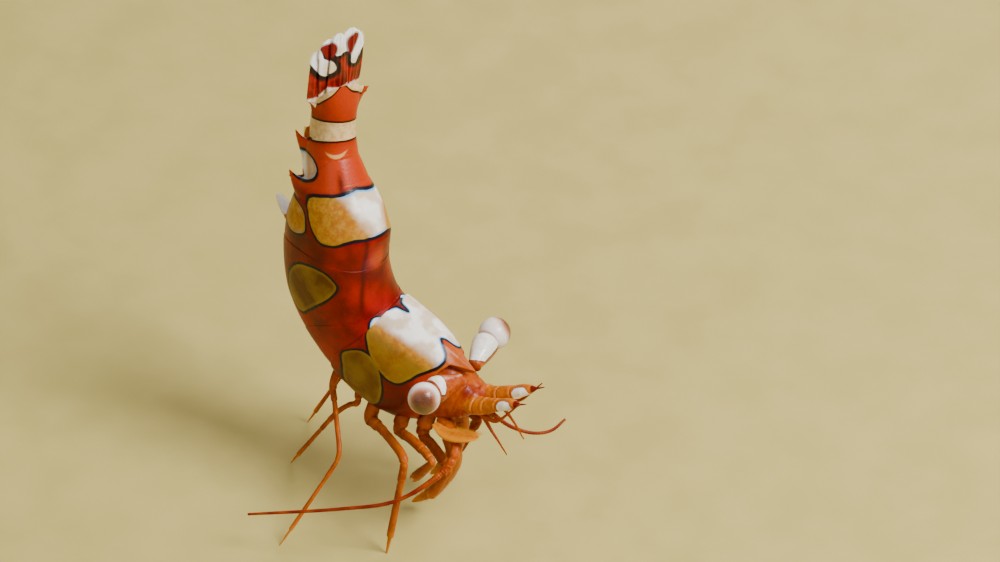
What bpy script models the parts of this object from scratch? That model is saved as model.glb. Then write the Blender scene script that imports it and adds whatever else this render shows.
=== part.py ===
"""Squat anemone shrimp at life size, standing with its abdomen raised over its back.

Lengths below are in millimetres and become metres where each mesh is made. +X is ahead of
the animal, +Y its left, +Z up, and the feet stand on the plane z = 0.

The body is drawn straight, in coordinates (s, left, up) round a centre line, and bent by
that line: s runs backwards from the rear edge of the carapace, so the carapace and head
have s below zero. Each plate ends on a boundary curve that its neighbour shares, less a
thin cut, so that the plates meet without overlapping.
"""

import math

import bpy
import numpy as np

MM = 0.001
CUT = 0.07  # width of the thin cut between two pieces
THIN = 0.5  # least thickness of a leg, feeler or fin

DORSAL_HEIGHT = 9.5  # rear edge of the carapace, on the back, above the floor
CARAPACE_HALF_HEIGHT = 2.42
CARAPACE_PITCH = math.radians(21)  # head down
SIDES = {"l": 1.0, "r": -1.0}

# The centre line: at each arc length, the rise above straight back, the lean to the left
# and the twist of the back towards the right, in degrees.
LINE_AT = np.array([0.0, 1.0, 2.0, 3.0, 4.2, 5.2, 6.2, 7.5, 8.5, 10.0, 11.5, 14.5])
LINE_RISE = np.array([30.0, 47.0, 62.0, 75.0, 86.0, 88.0, 84.0, 73.0, 72.0, 82.0, 88.0, 78.0])
LINE_LEAN = np.array([0.0, 0.0, 0.0, 1.0, 3.0, 6.0, 10.0, 14.0, 16.0, 16.0, 16.0, 16.0])
LINE_TWIST = np.array([0.0, 4.0, 8.0, 12.0, 16.0, 18.0, 20.0, 21.0, 22.0, 22.0, 22.0, 22.0])

CARAPACE_LENGTH = 3.2  # along the back, without the rostrum
ROSTRUM_LENGTH = 0.95
ROSTRUM_SPREAD = math.radians(20)
# Half width, half height above and half height below of the carapace along its axis.
SHIELD_AT = np.array([-4.2, -3.2, -2.4, -1.4, -0.4, 0.8])
SHIELD_SHAPE = (
    np.array([1.0, 1.22, 1.62, 1.84, 1.86, 1.82]),
    np.array([1.98, 2.10, 2.32, 2.42, 2.42, 2.40]),
    np.array([1.30, 1.62, 2.16, 2.42, 2.42, 2.20]),
)
# The head's ovals: distance ahead of s = 0, middle, half height, half width.
HEAD_OVALS = (
    (3.28, 0.0, 1.46, 1.10),
    (3.8, 0.18, 1.20, 1.02),
    (4.3, 0.42, 0.96, 0.92),
    (4.8, 0.72, 0.66, 0.80),
)
# The eyes and feelers, as (forward, outward, up) in the carapace's own frame.
EYE_FORWARD, EYE_LEFT, EYE_UP = 3.44, 2.5, 1.76
CORNEA_RADIUS = 0.66
CORNEA_CUP = 0.72  # where the stalk meets the cornea, inwards of its middle, in radii
EYESTALK_ROOT = (3.86, 0.52, 1.74)
EYESTALK_NECK = (3.46, 1.89, 1.76)
EYESTALK_RADII = (0.26, 0.29, 0.38, 0.48, 0.50)
ANTENNULE_PATH = ((5.1, 0.42, 1.15), (5.6, 0.48, 1.75), (6.1, 0.54, 2.35), (6.8, 0.66, 3.15))
ANTENNULE_RADII = (0.27, 0.30, 0.30, 0.32, 0.34, 0.34, 0.27, 0.25, 0.2)
SCALE_PATH = ((4.0, 1.5, -0.28), (4.5, 1.46, -0.02), (5.1, 1.42, 0.42), (5.6, 1.30, 0.86))
SCALE_RADII = (0.25, 0.38, 0.46, 0.48, 0.46, 0.42, 0.34, 0.2)
SCALE_FLATNESS = 0.6

# Limbs, in world coordinates: hip, knee, foot.
WALKING_LEGS = {
    "pereopod_3_r": ((-0.35, -1.35, 4.35), (2.55, -3.2, 4.8), (1.9, -3.6, 0.0)),
    "pereopod_4_r": ((-1.4, -0.8, 4.35), (-2.6, -0.75, 3.1), (-4.5, -1.0, 0.0)),
    "pereopod_5_r": ((-2.3, -1.2, 4.95), (-0.6, -3.2, 3.5), (-1.9, -5.6, 0.0)),
    "pereopod_3_l": ((0.3, 1.2, 4.3), (0.5, 3.3, 4.6), (0.2, 5.3, 0.0)),
    "pereopod_4_l": ((-0.8, 1.2, 4.3), (-0.7, 3.0, 4.6), (-1.7, 4.6, 0.0)),
    "pereopod_5_l": ((-1.8, 1.1, 4.5), (-3.9, 2.0, 3.0), (-5.4, 1.5, 0.0)),
}
HELD_LEGS = {
    "pereopod_1_r": ((1.9, -1.0, 4.3), (3.5, -1.55, 3.6), (2.4, -1.35, 1.5)),
    "pereopod_2_r": ((0.95, -1.25, 4.25), (3.35, -2.4, 4.5), (2.0, -2.1, 2.7)),
    "pereopod_1_l": ((1.9, 1.1, 4.4), (2.9, 1.5, 3.9), (1.9, 1.2, 1.8)),
    "pereopod_2_l": ((1.1, 1.2, 4.3), (1.9, 2.1, 4.3), (1.2, 1.6, 2.3)),
}
LEG_RADII = (0.30, 0.31, 0.30, 0.28, 0.28, 0.27, 0.26, 0.25, 0.25, 0.25)
HELD_TIP_RADIUS = 0.16
MAXILLIPED_RADII = (0.28, 0.32, 0.34, 0.35, 0.35, 0.34, 0.33, 0.30, 0.27, 0.18)
# Root, bends and tip of the third maxillipeds and of the antennae, in world coordinates.
MAXILLIPED_PATHS = {
    "r": (
        (2.4, -0.5, 4.9), (3.0, -0.65, 4.3), (3.2, -0.7, 3.5),
        (2.9, -0.65, 2.6), (2.2, -0.7, 1.4), (1.25, -0.75, 0.45),
    ),
    "l": (
        (2.4, 0.5, 4.9), (2.7, 0.6, 4.3), (2.6, 0.6, 3.5),
        (2.3, 0.55, 2.6), (1.8, 0.5, 1.7), (1.3, 0.45, 1.1),
    ),
}
ANTENNA_PATHS = {
    "r": (
        (3.3, -1.0, 5.1), (3.9, -1.6, 4.9), (3.8, -2.4, 4.2),
        (2.6, -3.9, 3.2), (0.6, -5.0, 2.6), (-2.8, -6.5, 1.8),
    ),
    "l": (
        (3.3, 1.0, 5.1), (3.9, 1.1, 4.8), (4.5, 1.4, 4.3),
        (5.2, 1.9, 3.95), (5.7, 2.5, 3.9), (5.9, 3.2, 4.1),
    ),
}
# Pleopods: where each pair starts along the body, how far out, how long, and its fall from
# the belly as a share of that length. The third pair is held the furthest away.
PLEOPODS = (
    (1.0, 0.47, 1.4, 0.18), (2.8, 0.50, 1.6, 0.25), (4.55, 0.50, 1.4, 1.30),
    (6.9, 0.34, 1.1, 0.18), (8.4, 0.32, 1.0, 0.18),
)
PLEOPOD_RADII = (0.16, 0.22, 0.26, 0.27, 0.24, 0.14)  # as shares of its length
PLEOPOD_CLEARANCE = 0.05


def clear_scene():
    for obj in list(bpy.data.objects):
        bpy.data.objects.remove(obj, do_unlink=True)


def shell_material(name, colour, roughness):
    """Smooth chitin of one colour."""
    material = bpy.data.materials.new(name)
    material.use_nodes = True
    shader = material.node_tree.nodes["Principled BSDF"]
    shader.inputs["Base Color"].default_value = (*colour, 1.0)
    shader.inputs["Roughness"].default_value = roughness
    shader.inputs["Metallic"].default_value = 0.0
    return material


def centre_line():
    """Samples of the centre line: arc length, points and the frame (back, left, up).

    Ahead of s = 0 the line is straight along the carapace's axis. Behind it, the tangent
    turns as the rise and lean say, and points are the running sum of the tangents.
    """
    step = 0.02
    arc = np.arange(-8.0, 14.6, step)
    rise = np.radians(np.interp(arc, LINE_AT, LINE_RISE))
    rise = np.where(arc < 0.0, CARAPACE_PITCH, rise)
    blend = np.clip(arc / 0.8, 0.0, 1.0)
    rise = CARAPACE_PITCH + (rise - CARAPACE_PITCH) * blend
    lean = np.radians(np.interp(arc, LINE_AT, LINE_LEAN))
    twist = np.radians(np.interp(arc, LINE_AT, LINE_TWIST))
    back = np.stack([-np.cos(rise) * np.cos(lean), np.sin(lean), np.sin(rise) * np.cos(lean)], 1)
    up = np.stack([np.sin(rise), np.zeros_like(rise), np.cos(rise)], 1)
    left = np.cross(back, up)
    turned_up = up * np.cos(twist)[:, None] - left * np.sin(twist)[:, None]
    turned_left = left * np.cos(twist)[:, None] + up * np.sin(twist)[:, None]
    points = np.cumsum(back * step, 0)
    start = int(np.argmin(np.abs(arc)))
    rear_centre = np.array([0.0, 0.0, DORSAL_HEIGHT]) - CARAPACE_HALF_HEIGHT * up[start]
    return arc, points - points[start] + rear_centre, back, turned_left, turned_up


ARC, LINE_POINTS, LINE_BACK, LINE_LEFT, LINE_UP = centre_line()


def bent(s, left, up):
    """World points of straight-body coordinates, read off the centre line and its frame."""
    s, left, up = np.broadcast_arrays(s, left, up)
    base = np.stack([np.interp(s, ARC, LINE_POINTS[:, i]) for i in range(3)], -1)
    along_left = np.stack([np.interp(s, ARC, LINE_LEFT[:, i]) for i in range(3)], -1)
    along_up = np.stack([np.interp(s, ARC, LINE_UP[:, i]) for i in range(3)], -1)
    return base + left[..., None] * along_left + up[..., None] * along_up


def add_piece(name, points, faces, material, centre):
    """One closed mesh object at its place: faces wound outwards, shaded smooth."""
    mesh = bpy.data.meshes.new(name)
    mesh.from_pydata((np.asarray(points) * MM).tolist(), [], faces)
    mesh.materials.append(material)
    mesh.shade_smooth()
    mesh.set_sharp_from_angle(angle=math.radians(50))
    obj = bpy.data.objects.new(name, mesh)
    bpy.context.scene.collection.objects.link(obj)
    obj.parent = centre
    return obj


def tube_faces(rings, around):
    """Faces of rings of equal length, closed at each end by a fan to a pole.

    Vertices: all rings in order, then the first pole, then the last pole.
    """
    faces = []
    for i in range(rings - 1):
        for j in range(around):
            k = (j + 1) % around
            faces.append((i * around + j, i * around + k, (i + 1) * around + k, (i + 1) * around + j))
    first = rings * around
    last = first + 1
    for j in range(around):
        k = (j + 1) % around
        faces.append((first, k, j))
        faces.append((last, (rings - 1) * around + j, (rings - 1) * around + k))
    return faces


def outward(points, faces):
    """The faces, all turned round if together they enclose a negative volume."""
    total = 0.0
    for face in faces:
        for a, b in zip(face[1:-1], face[2:]):
            total += np.dot(points[face[0]], np.cross(points[a], points[b]))
    return faces if total > 0.0 else [tuple(reversed(face)) for face in faces]


def add_rings(name, rings, poles, material, centre):
    """A closed piece from rings of points, (ring, around, 3), and its two end poles."""
    count, around, _ = rings.shape
    points = np.vstack([rings.reshape(-1, 3), poles])
    faces = outward(points - points.mean(0), tube_faces(count, around))
    return add_piece(name, points, faces, material, centre)


def smooth_path(control, count):
    """Catmull-Rom curve through the control points, evenly spread in its parameter."""
    control = np.asarray(control, float)
    padded = np.vstack([2 * control[0] - control[1], control, 2 * control[-1] - control[-2]])
    at = np.linspace(0.0, len(control) - 1.0, count)
    span = np.minimum(at.astype(int), len(control) - 2)
    t = (at - span)[:, None]
    a, b, c, d = (padded[span + k] for k in range(4))
    return 0.5 * (2 * b + (c - a) * t + (2 * a - 5 * b + 4 * c - d) * t**2 + (3 * (b - c) + d - a) * t**3)


def add_tube(name, path, radii, material, centre, around=8, flat_end=False, flatten=1.0, dome=0.4):
    """A limb or feeler: circles of the given radii carried along the path.

    Each circle's frame is the last one turned as little as possible. flatten squashes the
    circle along its second axis, flat_end lays the last circle level, as a sole, and dome
    is how far the ends bulge, as a share of the radius there.
    """
    path = np.asarray(path, float)
    radii = np.broadcast_to(np.asarray(radii, float), len(path))
    tangents = np.gradient(path, axis=0)
    tangents /= np.linalg.norm(tangents, axis=1)[:, None]
    if flat_end:
        tangents[-1] = (0.0, 0.0, -1.0)
    side = np.cross(tangents[0], (0.0, 0.0, 1.0))
    if np.linalg.norm(side) < 0.1:
        side = np.cross(tangents[0], (1.0, 0.0, 0.0))
    turn = np.linspace(0.0, 2 * math.pi, around, endpoint=False)
    rings = []
    for point, tangent, radius in zip(path, tangents, radii):
        side = side - tangent * side.dot(tangent)
        side /= np.linalg.norm(side)
        other = np.cross(tangent, side)
        circle = np.cos(turn)[:, None] * side + flatten * np.sin(turn)[:, None] * other
        rings.append(point + radius * circle)
    poles = np.array([path[0] - tangents[0] * radii[0] * dome, path[-1] + tangents[-1] * radii[-1] * dome])
    if flat_end:
        poles[1] = path[-1]
    return add_rings(name, np.array(rings), poles, material, centre)


# ---------------------------------------------------------------- body plates
# The seven cuts between the carapace, the six somites and the tail fan. Each lies at CUT_AT
# on the middle of the back, bows backwards by CUT_BOW on the flanks, slopes by CUT_SLOPE
# towards the belly and is drawn out into a tooth of CUT_TOOTH on each pleuron.
CUT_AT = (0.0, 1.5, 4.6, 7.3, 8.75, 10.05, 11.85)
CUT_BOW = (0.75, 0.45, 0.35, 0.0, 0.0, 0.0, 0.0)
CUT_SLOPE = (0.0, 0.0, 0.0, -0.6, -1.0, -0.8, -1.5)
CUT_TOOTH = (0.0, 0.0, 0.0, 0.1, 0.35, 0.40, 0.20)
# Half width, half height above and half height below, at arc lengths along the body.
GIRTH_AT = np.array([0.0, 1.2, 3.0, 4.5, 5.8, 6.8, 7.6, 8.6, 9.6, 10.6, 11.8])
GIRTH_WIDE = np.array([1.80, 1.80, 1.84, 1.80, 1.76, 1.54, 1.18, 0.90, 0.80, 0.80, 0.96])
GIRTH_ABOVE = np.array([2.42, 2.20, 2.12, 2.10, 2.36, 1.96, 1.30, 0.96, 0.90, 0.94, 0.80])
GIRTH_BELOW = np.array([2.05, 2.05, 2.42, 2.45, 2.30, 2.05, 1.72, 1.36, 1.15, 0.98, 0.80])
PLEURON_ANGLE = math.radians(128)  # round the body from the middle of the back
TOOTH_SPREAD = math.radians(19)
TOOTH_FLARE = 0.55  # how far a tooth stands out, as a share of the body's radius there
FIRST_TOOTHED = 3
CAP_RISE = 0.5  # of the middle of a plate's end faces, as a share of the half height below
GROOVE_DEPTH = 0.5  # of the belly between the pleura, as a share of the half height below
GROOVE_FULL = 1.0  # arc length by which it has its full depth
GROOVE_INNER, GROOVE_OUTER = 0.50, 0.70  # flat roof and outer edge, as shares of the half width
AROUND = 28
# Tail fan blades: where each starts and ends along the body, its left at both, its half
# width, its up. The right uropods are spread a little wider than the left ones.
TELSON = ((11.95, 13.85), (0.0, -0.1), 0.42, (0.42, 0.42))
UROPODS = {
    "uropod_inner_l": ((11.05, 13.3), (0.43, 0.45), 0.40, (-0.47, -0.47)),
    "uropod_inner_r": ((11.05, 13.3), (-0.43, -0.45), 0.40, (-0.47, -0.47)),
    "uropod_outer_l": ((11.32, 13.75), (0.66, 0.68), 0.44, (0.0, 0.0)),
    "uropod_outer_r": ((11.32, 13.5), (-0.86, -0.80), 0.52, (0.0, 0.0)),
}
BLADE_TIP = 0.45  # half width of a fan blade at its end, as a share of its greatest


def boundary(index, angle):
    """Arc length of a cut at each angle round the body: cut 0 is the carapace's rear edge."""
    flank = np.sin(angle) ** 2
    belly = 0.5 - 0.5 * np.cos(angle)
    bent_edge = CUT_AT[index] + CUT_BOW[index] * flank + CUT_SLOPE[index] * belly
    return bent_edge + CUT_TOOTH[index] * pleuron_tooth(angle)


def pleuron_tooth(angle):
    """One at the pleuron's corner on each side, falling to zero a little way round."""
    return np.clip(1.0 - np.abs(np.abs(angle) - PLEURON_ANGLE) / TOOTH_SPREAD, 0.0, 1.0)


def girth(s, angle, swell):
    """Body outline (left, up) at arc length s: half an ellipse over a squarer, grooved belly."""
    wide = np.interp(s, GIRTH_AT, GIRTH_WIDE) * swell
    above = np.interp(s, GIRTH_AT, GIRTH_ABOVE) * swell
    below = np.interp(s, GIRTH_AT, GIRTH_BELOW) * swell
    sine = np.sin(angle)
    cosine = np.cos(angle)
    left = wide * np.sign(sine) * np.abs(sine) ** 0.85
    up = np.where(cosine > 0, above * np.abs(cosine) ** 0.95, -below * np.abs(cosine) ** 0.8)
    aside = (GROOVE_OUTER - np.abs(left) / wide) / (GROOVE_OUTER - GROOVE_INNER)
    depth = GROOVE_DEPTH * below * np.clip(s / GROOVE_FULL, 0.0, 1.0)
    groove = depth * np.clip(aside, 0.0, 1.0) * (cosine < 0)
    return left, up + groove


def cap_centres(s):
    """The points above the groove to which a plate's two end faces are drawn."""
    return bent(s, 0.0, CAP_RISE * np.interp(s, GIRTH_AT, GIRTH_BELOW))


def add_somites(material, centre):
    angle = np.linspace(0.0, 2 * math.pi, AROUND, endpoint=False)
    signed = np.where(angle > math.pi, angle - 2 * math.pi, angle)
    for index in range(len(CUT_AT) - 1):
        front = boundary(index, signed) + CUT / 2
        rear = boundary(index + 1, signed) - CUT / 2
        rings = []
        for share in np.linspace(0.0, 1.0, 6):
            s = front + (rear - front) * share
            swell = 0.93 + 0.07 * math.sin(min(share * 1.6, 1.0) * math.pi / 2)
            left, up = girth(s, angle, swell)
            if index >= FIRST_TOOTHED:
                flare = 1.0 + TOOTH_FLARE * pleuron_tooth(signed) * share**2
                left, up = left * flare, up * flare
            rings.append(bent(s, left, up))
        poles = cap_centres(np.array([front.min(), rear.min()]))
        add_rings(f"somite_{index + 1}", np.array(rings), poles, material, centre)


def add_carapace(material, centre):
    """The carapace: rings from its front edge to its rear one, with the rostrum drawn out.

    The vertex rows nearest the middle of the back run ahead as the rostrum, and a smaller
    ring behind it closes the front, so that the rostrum stands free above the head.
    """
    angle = np.linspace(0.0, 2 * math.pi, AROUND, endpoint=False)
    signed = np.where(angle > math.pi, angle - 2 * math.pi, angle)
    rostrum = np.clip(1.0 - np.abs(signed) / ROSTRUM_SPREAD, 0.0, 1.0) * ROSTRUM_LENGTH
    front = -CARAPACE_LENGTH - rostrum
    rear = boundary(0, signed) - CUT / 2

    def outline(s, scale):
        wide, above, below = (np.interp(s, SHIELD_AT, shape) * scale for shape in SHIELD_SHAPE)
        sine, cosine = np.sin(angle), np.cos(angle)
        left = wide * np.sign(sine) * np.abs(sine) ** 0.9
        up = np.where(cosine > 0, above * np.abs(cosine) ** 0.95, -below * np.abs(cosine) ** 0.8)
        return bent(s, left, up)

    rings = [outline(np.full(AROUND, -CARAPACE_LENGTH), 0.78)]
    for share in (0.0, 0.08, 0.2, 0.34, 0.5, 0.66, 0.82, 1.0):
        rings.append(outline(front + (rear - front) * share, 1.0))
    poles = np.array([bent(-CARAPACE_LENGTH, 0.0, 0.2), cap_centres(rear.min())])
    add_rings("carapace", np.array(rings), poles, material, centre)


def add_head(material, centre):
    """The head under the rostrum: ovals that narrow and rise towards the antennules."""
    turn = np.linspace(0.0, 2 * math.pi, 18, endpoint=False)
    rings = []
    for forward, middle, high, wide in HEAD_OVALS:
        rings.append(bent(-forward, wide * np.sin(turn), middle + high * np.cos(turn)))
    ends = np.array([-HEAD_OVALS[0][0], -HEAD_OVALS[-1][0] - 0.15])
    poles = bent(ends, 0.0, np.array([HEAD_OVALS[0][1], HEAD_OVALS[-1][1]]))
    add_rings("head", np.array(rings), poles, material, centre)


def head_points(side, path):
    """World points of a path given as (forward, outward, up) in the carapace's own frame."""
    path = np.asarray(path, float)
    return bent(-path[:, 0], side * path[:, 1], path[:, 2])


def add_eye(side, suffix, materials, centre):
    """A stalk that widens outwards and the round cornea on its end."""
    root, neck = np.array(EYESTALK_ROOT), np.array(EYESTALK_NECK)
    path = head_points(side, [root + (neck - root) * k for k in (0.0, 0.3, 0.6, 0.85, 1.0)])
    add_tube(f"eyestalk_{suffix}", path, EYESTALK_RADII, materials["head"], centre, 10, dome=0.1)
    rings = []
    turn = np.linspace(0.0, 2 * math.pi, 14, endpoint=False)
    for polar in np.linspace(math.pi - math.acos(CORNEA_CUP), 0.22, 7):
        outward_by = EYE_LEFT + CORNEA_RADIUS * math.cos(polar)
        radius = CORNEA_RADIUS * math.sin(polar)
        along, rise = radius * np.cos(turn), radius * np.sin(turn)
        rings.append(bent(along - EYE_FORWARD, side * outward_by, EYE_UP + rise))
    ends = EYE_LEFT + CORNEA_RADIUS * np.array([-CORNEA_CUP, 1.0])
    poles = bent(np.full(2, -EYE_FORWARD), side * ends, EYE_UP)
    add_rings(f"cornea_{suffix}", np.array(rings), poles, materials["eye"], centre)


def add_feelers(side, suffix, materials, centre):
    """Antennule with its short spike, the leaf-shaped antennal scale, and the long antenna."""
    stem = smooth_path(head_points(side, ANTENNULE_PATH), len(ANTENNULE_RADII))
    add_tube(f"antennule_{suffix}", stem, ANTENNULE_RADII, materials["head"], centre, 8)

    leaf = smooth_path(head_points(side, SCALE_PATH), len(SCALE_RADII))
    flat = SCALE_FLATNESS
    add_tube(f"antennal_scale_{suffix}", leaf, SCALE_RADII, materials["head"], centre, 10, flatten=flat)

    path = smooth_path(ANTENNA_PATHS[suffix], 20)
    stouter_root = 0.05 * np.clip(1.0 - np.arange(len(path)) / 4.0, 0.0, 1.0)
    thick = THIN / 2 + stouter_root
    thick[-1] = 0.15
    add_tube(f"antenna_{suffix}", path, thick, materials["leg"], centre, 6)


def leg_path(hip, knee, foot):
    """Hip to foot in two nearly straight lengths with a rounded knee between them."""
    hip, knee, foot = (np.asarray(p, float) for p in (hip, knee, foot))
    arch = np.array([0.0, 0.0, 0.12])
    upper = [hip + (knee - hip) * k + arch * math.sin(k * math.pi) for k in (0.0, 0.3, 0.6, 0.86)]
    bend = [knee * 0.94 + (hip + foot) * 0.03]
    lower = [knee + (foot - knee) * k for k in (0.14, 0.35, 0.6, 0.82, 1.0)]
    return np.array(upper + bend + lower)


def add_leg(name, hip, knee, foot, material, centre, stands):
    """A limb of even thickness, a little stouter above the knee. A standing one has a sole."""
    path = leg_path(hip, knee, foot)
    radii = np.array(LEG_RADII)
    if not stands:
        radii[-1] = HELD_TIP_RADIUS
    add_tube(name, path, radii, material, centre, 8, flat_end=stands)


def add_limbs(materials, centre):
    for name, (hip, knee, foot) in WALKING_LEGS.items():
        add_leg(name, hip, knee, foot, materials["leg"], centre, True)
    for name, (hip, knee, tip) in HELD_LEGS.items():
        add_leg(name, hip, knee, tip, materials["leg"], centre, False)
    for suffix, path in MAXILLIPED_PATHS.items():
        bends = smooth_path(path, len(MAXILLIPED_RADII))
        add_tube(f"maxilliped_{suffix}", bends, MAXILLIPED_RADII, materials["leg"], centre, 8)


def belly(s, spread):
    """How far below the centre line the underside is, at arc length s and `spread` aside."""
    angle = np.linspace(math.pi / 2, math.pi, AROUND // 4 + 1)
    left, up = girth(s, angle, 1.0)
    return -np.interp(-spread, -left, up)


def add_pleopods(material, centre):
    """A pair of flat paddles under each of the first five somites, swept to the rear."""
    along = np.linspace(0.0, 1.0, len(PLEOPOD_RADII))
    for index, (s, spread, length, fall) in enumerate(PLEOPODS, start=1):
        radii = length * np.array(PLEOPOD_RADII)
        thickness = THIN / 2 / radii.max()
        swept = fall * length * along
        stations = zip(s + length * along, spread + radii, swept)
        depth = max(belly(at, edge) - below for at, edge, below in stations)
        depth += THIN / 2 + PLEOPOD_CLEARANCE
        for suffix, side in SIDES.items():
            path = bent(s + length * along, side * spread, -depth - swept)
            add_tube(f"pleopod_{index}_{suffix}", path, radii, material, centre, 10, flatten=thickness)


def add_blade(name, s_range, left_line, half_width, up_line, material, centre):
    """A flat leaf of the tail fan: rounded sections along s, widest past its middle."""
    around = 12
    turn = np.linspace(0.0, 2 * math.pi, around, endpoint=False)
    rings = []
    for share in np.linspace(0.0, 1.0, 7):
        s = s_range[0] + (s_range[1] - s_range[0]) * share
        wide = half_width * (0.74 + 0.26 * math.sin(math.pi * share**0.8))
        if share == 1.0:
            wide = half_width * BLADE_TIP
        left = left_line[0] + (left_line[1] - left_line[0]) * share
        up = up_line[0] + (up_line[1] - up_line[0]) * share
        rings.append(bent(s, left + wide * np.cos(turn), up + THIN / 2 * np.sin(turn)))
    ends = np.array([s_range[0] - 0.02, s_range[1] + 0.1])
    poles = bent(ends, np.array(left_line), np.array(up_line))
    add_rings(name, np.array(rings), poles, material, centre)


def add_tail_fan(material, centre):
    for name, blade in {"telson": TELSON, **UROPODS}.items():
        add_blade(name, *blade, material, centre)


def origin_shift(pieces):
    """The move that brings the middle of the whole animal's footprint over the origin."""
    corners = np.array([corner for piece in pieces for corner in piece.bound_box])
    middle = (corners.min(0) + corners.max(0)) / 2
    return (-middle[0], -middle[1], 0.0)


def main():
    clear_scene()
    centre = bpy.data.objects.new("shrimp", None)
    bpy.context.scene.collection.objects.link(centre)
    materials = {
        "shell": shell_material("red_shell", (0.45, 0.03, 0.01), 0.35),
        "head": shell_material("orange_shell", (0.80, 0.20, 0.02), 0.35),
        "eye": shell_material("pearl_cornea", (0.85, 0.78, 0.70), 0.15),
        "leg": shell_material("orange_leg", (0.62, 0.10, 0.01), 0.35),
    }
    add_carapace(materials["shell"], centre)
    add_head(materials["head"], centre)
    add_somites(materials["shell"], centre)
    add_tail_fan(materials["shell"], centre)
    for suffix, side in SIDES.items():
        add_eye(side, suffix, materials, centre)
        add_feelers(side, suffix, materials, centre)
    add_limbs(materials, centre)
    add_pleopods(materials["leg"], centre)
    centre.location = origin_shift(centre.children)


main()
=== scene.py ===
"""Squat anemone shrimp: finished shell, markings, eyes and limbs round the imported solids."""

import math

import bpy
import numpy as np
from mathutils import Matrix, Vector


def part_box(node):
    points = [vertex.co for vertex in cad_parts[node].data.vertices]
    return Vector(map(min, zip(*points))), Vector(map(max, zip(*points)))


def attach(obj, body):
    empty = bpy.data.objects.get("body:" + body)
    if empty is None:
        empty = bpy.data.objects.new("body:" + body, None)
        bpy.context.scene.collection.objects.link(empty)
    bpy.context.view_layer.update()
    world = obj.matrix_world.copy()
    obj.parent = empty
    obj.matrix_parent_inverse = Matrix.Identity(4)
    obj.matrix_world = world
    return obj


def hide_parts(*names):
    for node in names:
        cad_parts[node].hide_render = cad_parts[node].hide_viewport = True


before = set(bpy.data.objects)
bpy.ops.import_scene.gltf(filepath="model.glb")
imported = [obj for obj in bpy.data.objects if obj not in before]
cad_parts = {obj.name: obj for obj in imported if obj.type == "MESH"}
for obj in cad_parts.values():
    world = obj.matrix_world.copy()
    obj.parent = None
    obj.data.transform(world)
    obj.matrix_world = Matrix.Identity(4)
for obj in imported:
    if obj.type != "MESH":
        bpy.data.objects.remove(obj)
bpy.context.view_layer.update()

# Sizes below are in millimetres and angles in degrees, unless a name says otherwise. The
# animal faces +X with its left at +Y.
MM = 0.001


# ------------------------------------------------------------------ camera
# A long lens looks down on the animal's right side from ahead, at the height of a person
# bent over a show case. Its frame is 40 mm wide at the animal.
AZIMUTH = 34.0
ELEVATION = 38.5
FRAME_WIDTH = 40.0
CAMERA_DISTANCE = 900.0
SENSOR = 36.0
AIM_RIGHT, AIM_UP = 4.08, 8.316  # the frame's middle, seen from the drawing frame's origin

# The middle between the corneas, in the body's own drawing frame, where the rear edge of
# the carapace is over the origin. It ties that frame to the solids' one.
EYES_MIDDLE = np.array([2.9748, 0.0, 7.6508])
cornea_corners = np.array([corner for side in "lr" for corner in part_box(f"cornea_{side}")])
SHIFT = (cornea_corners.min(0) + cornea_corners.max(0)) / 2 / MM - EYES_MIDDLE


def view_axes(azimuth, elevation):
    """Unit vectors to the right, up and towards the viewer, for angles in degrees."""
    a, e = math.radians(azimuth), math.radians(elevation)
    right = np.array([math.cos(a), math.sin(a), 0.0])
    toward = np.array([math.sin(a) * math.cos(e), -math.cos(a) * math.cos(e), math.sin(e)])
    return right, np.cross(toward, right), toward


def add_object(name, data):
    """A new object at the origin, linked into the scene."""
    made = bpy.data.objects.new(name, data)
    bpy.context.scene.collection.objects.link(made)
    return made


def add_aimed(name, data, target, azimuth, elevation, distance):
    """A camera or a lamp that looks at its target from those angles and that distance."""
    made = add_object(name, data)
    made.location = (target + view_axes(azimuth, elevation)[2] * distance) * MM
    made.rotation_euler = (math.radians(90.0 - elevation), 0.0, math.radians(azimuth))
    return made


right, upward, _ = view_axes(AZIMUTH, ELEVATION)
aim = SHIFT + AIM_RIGHT * right + AIM_UP * upward
lens = bpy.data.cameras.new("camera")
lens.sensor_width = SENSOR
lens.lens = SENSOR * CAMERA_DISTANCE / FRAME_WIDTH
lens.clip_start, lens.clip_end = 0.01, 10.0  # metres
bpy.context.scene.camera = add_aimed("camera", lens, aim, AZIMUTH, ELEVATION, CAMERA_DISTANCE)


# ------------------------------------------------------------------ shader expressions
# Every finish below is written as sums of sockets: a Wire is one output of a node, and a
# Finish is one material with its Principled shader.
class Wire:
    """A node's output. Arithmetic on it adds Math nodes to its finish."""

    def __init__(self, finish, socket):
        self.finish = finish
        self.socket = socket

    def maths(self, operation, *values):
        return self.finish.node("ShaderNodeMath", {"operation": operation}, dict(enumerate(values)))

    def __add__(self, other):
        return self.maths("ADD", self, other)

    def __sub__(self, other):
        return self.maths("SUBTRACT", self, other)

    def __rsub__(self, other):
        return self.maths("SUBTRACT", other, self)

    def __mul__(self, other):
        return self.maths("MULTIPLY", self, other)

    __radd__ = __add__
    __rmul__ = __mul__

    def step(self, low, high):
        """0 below low, 1 above high and a smooth rise between; falls where low > high."""
        settings = {"interpolation_type": "SMOOTHSTEP"}
        sockets = {"Value": self, "From Min": low, "From Max": high}
        return self.finish.node("ShaderNodeMapRange", settings, sockets)


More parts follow.
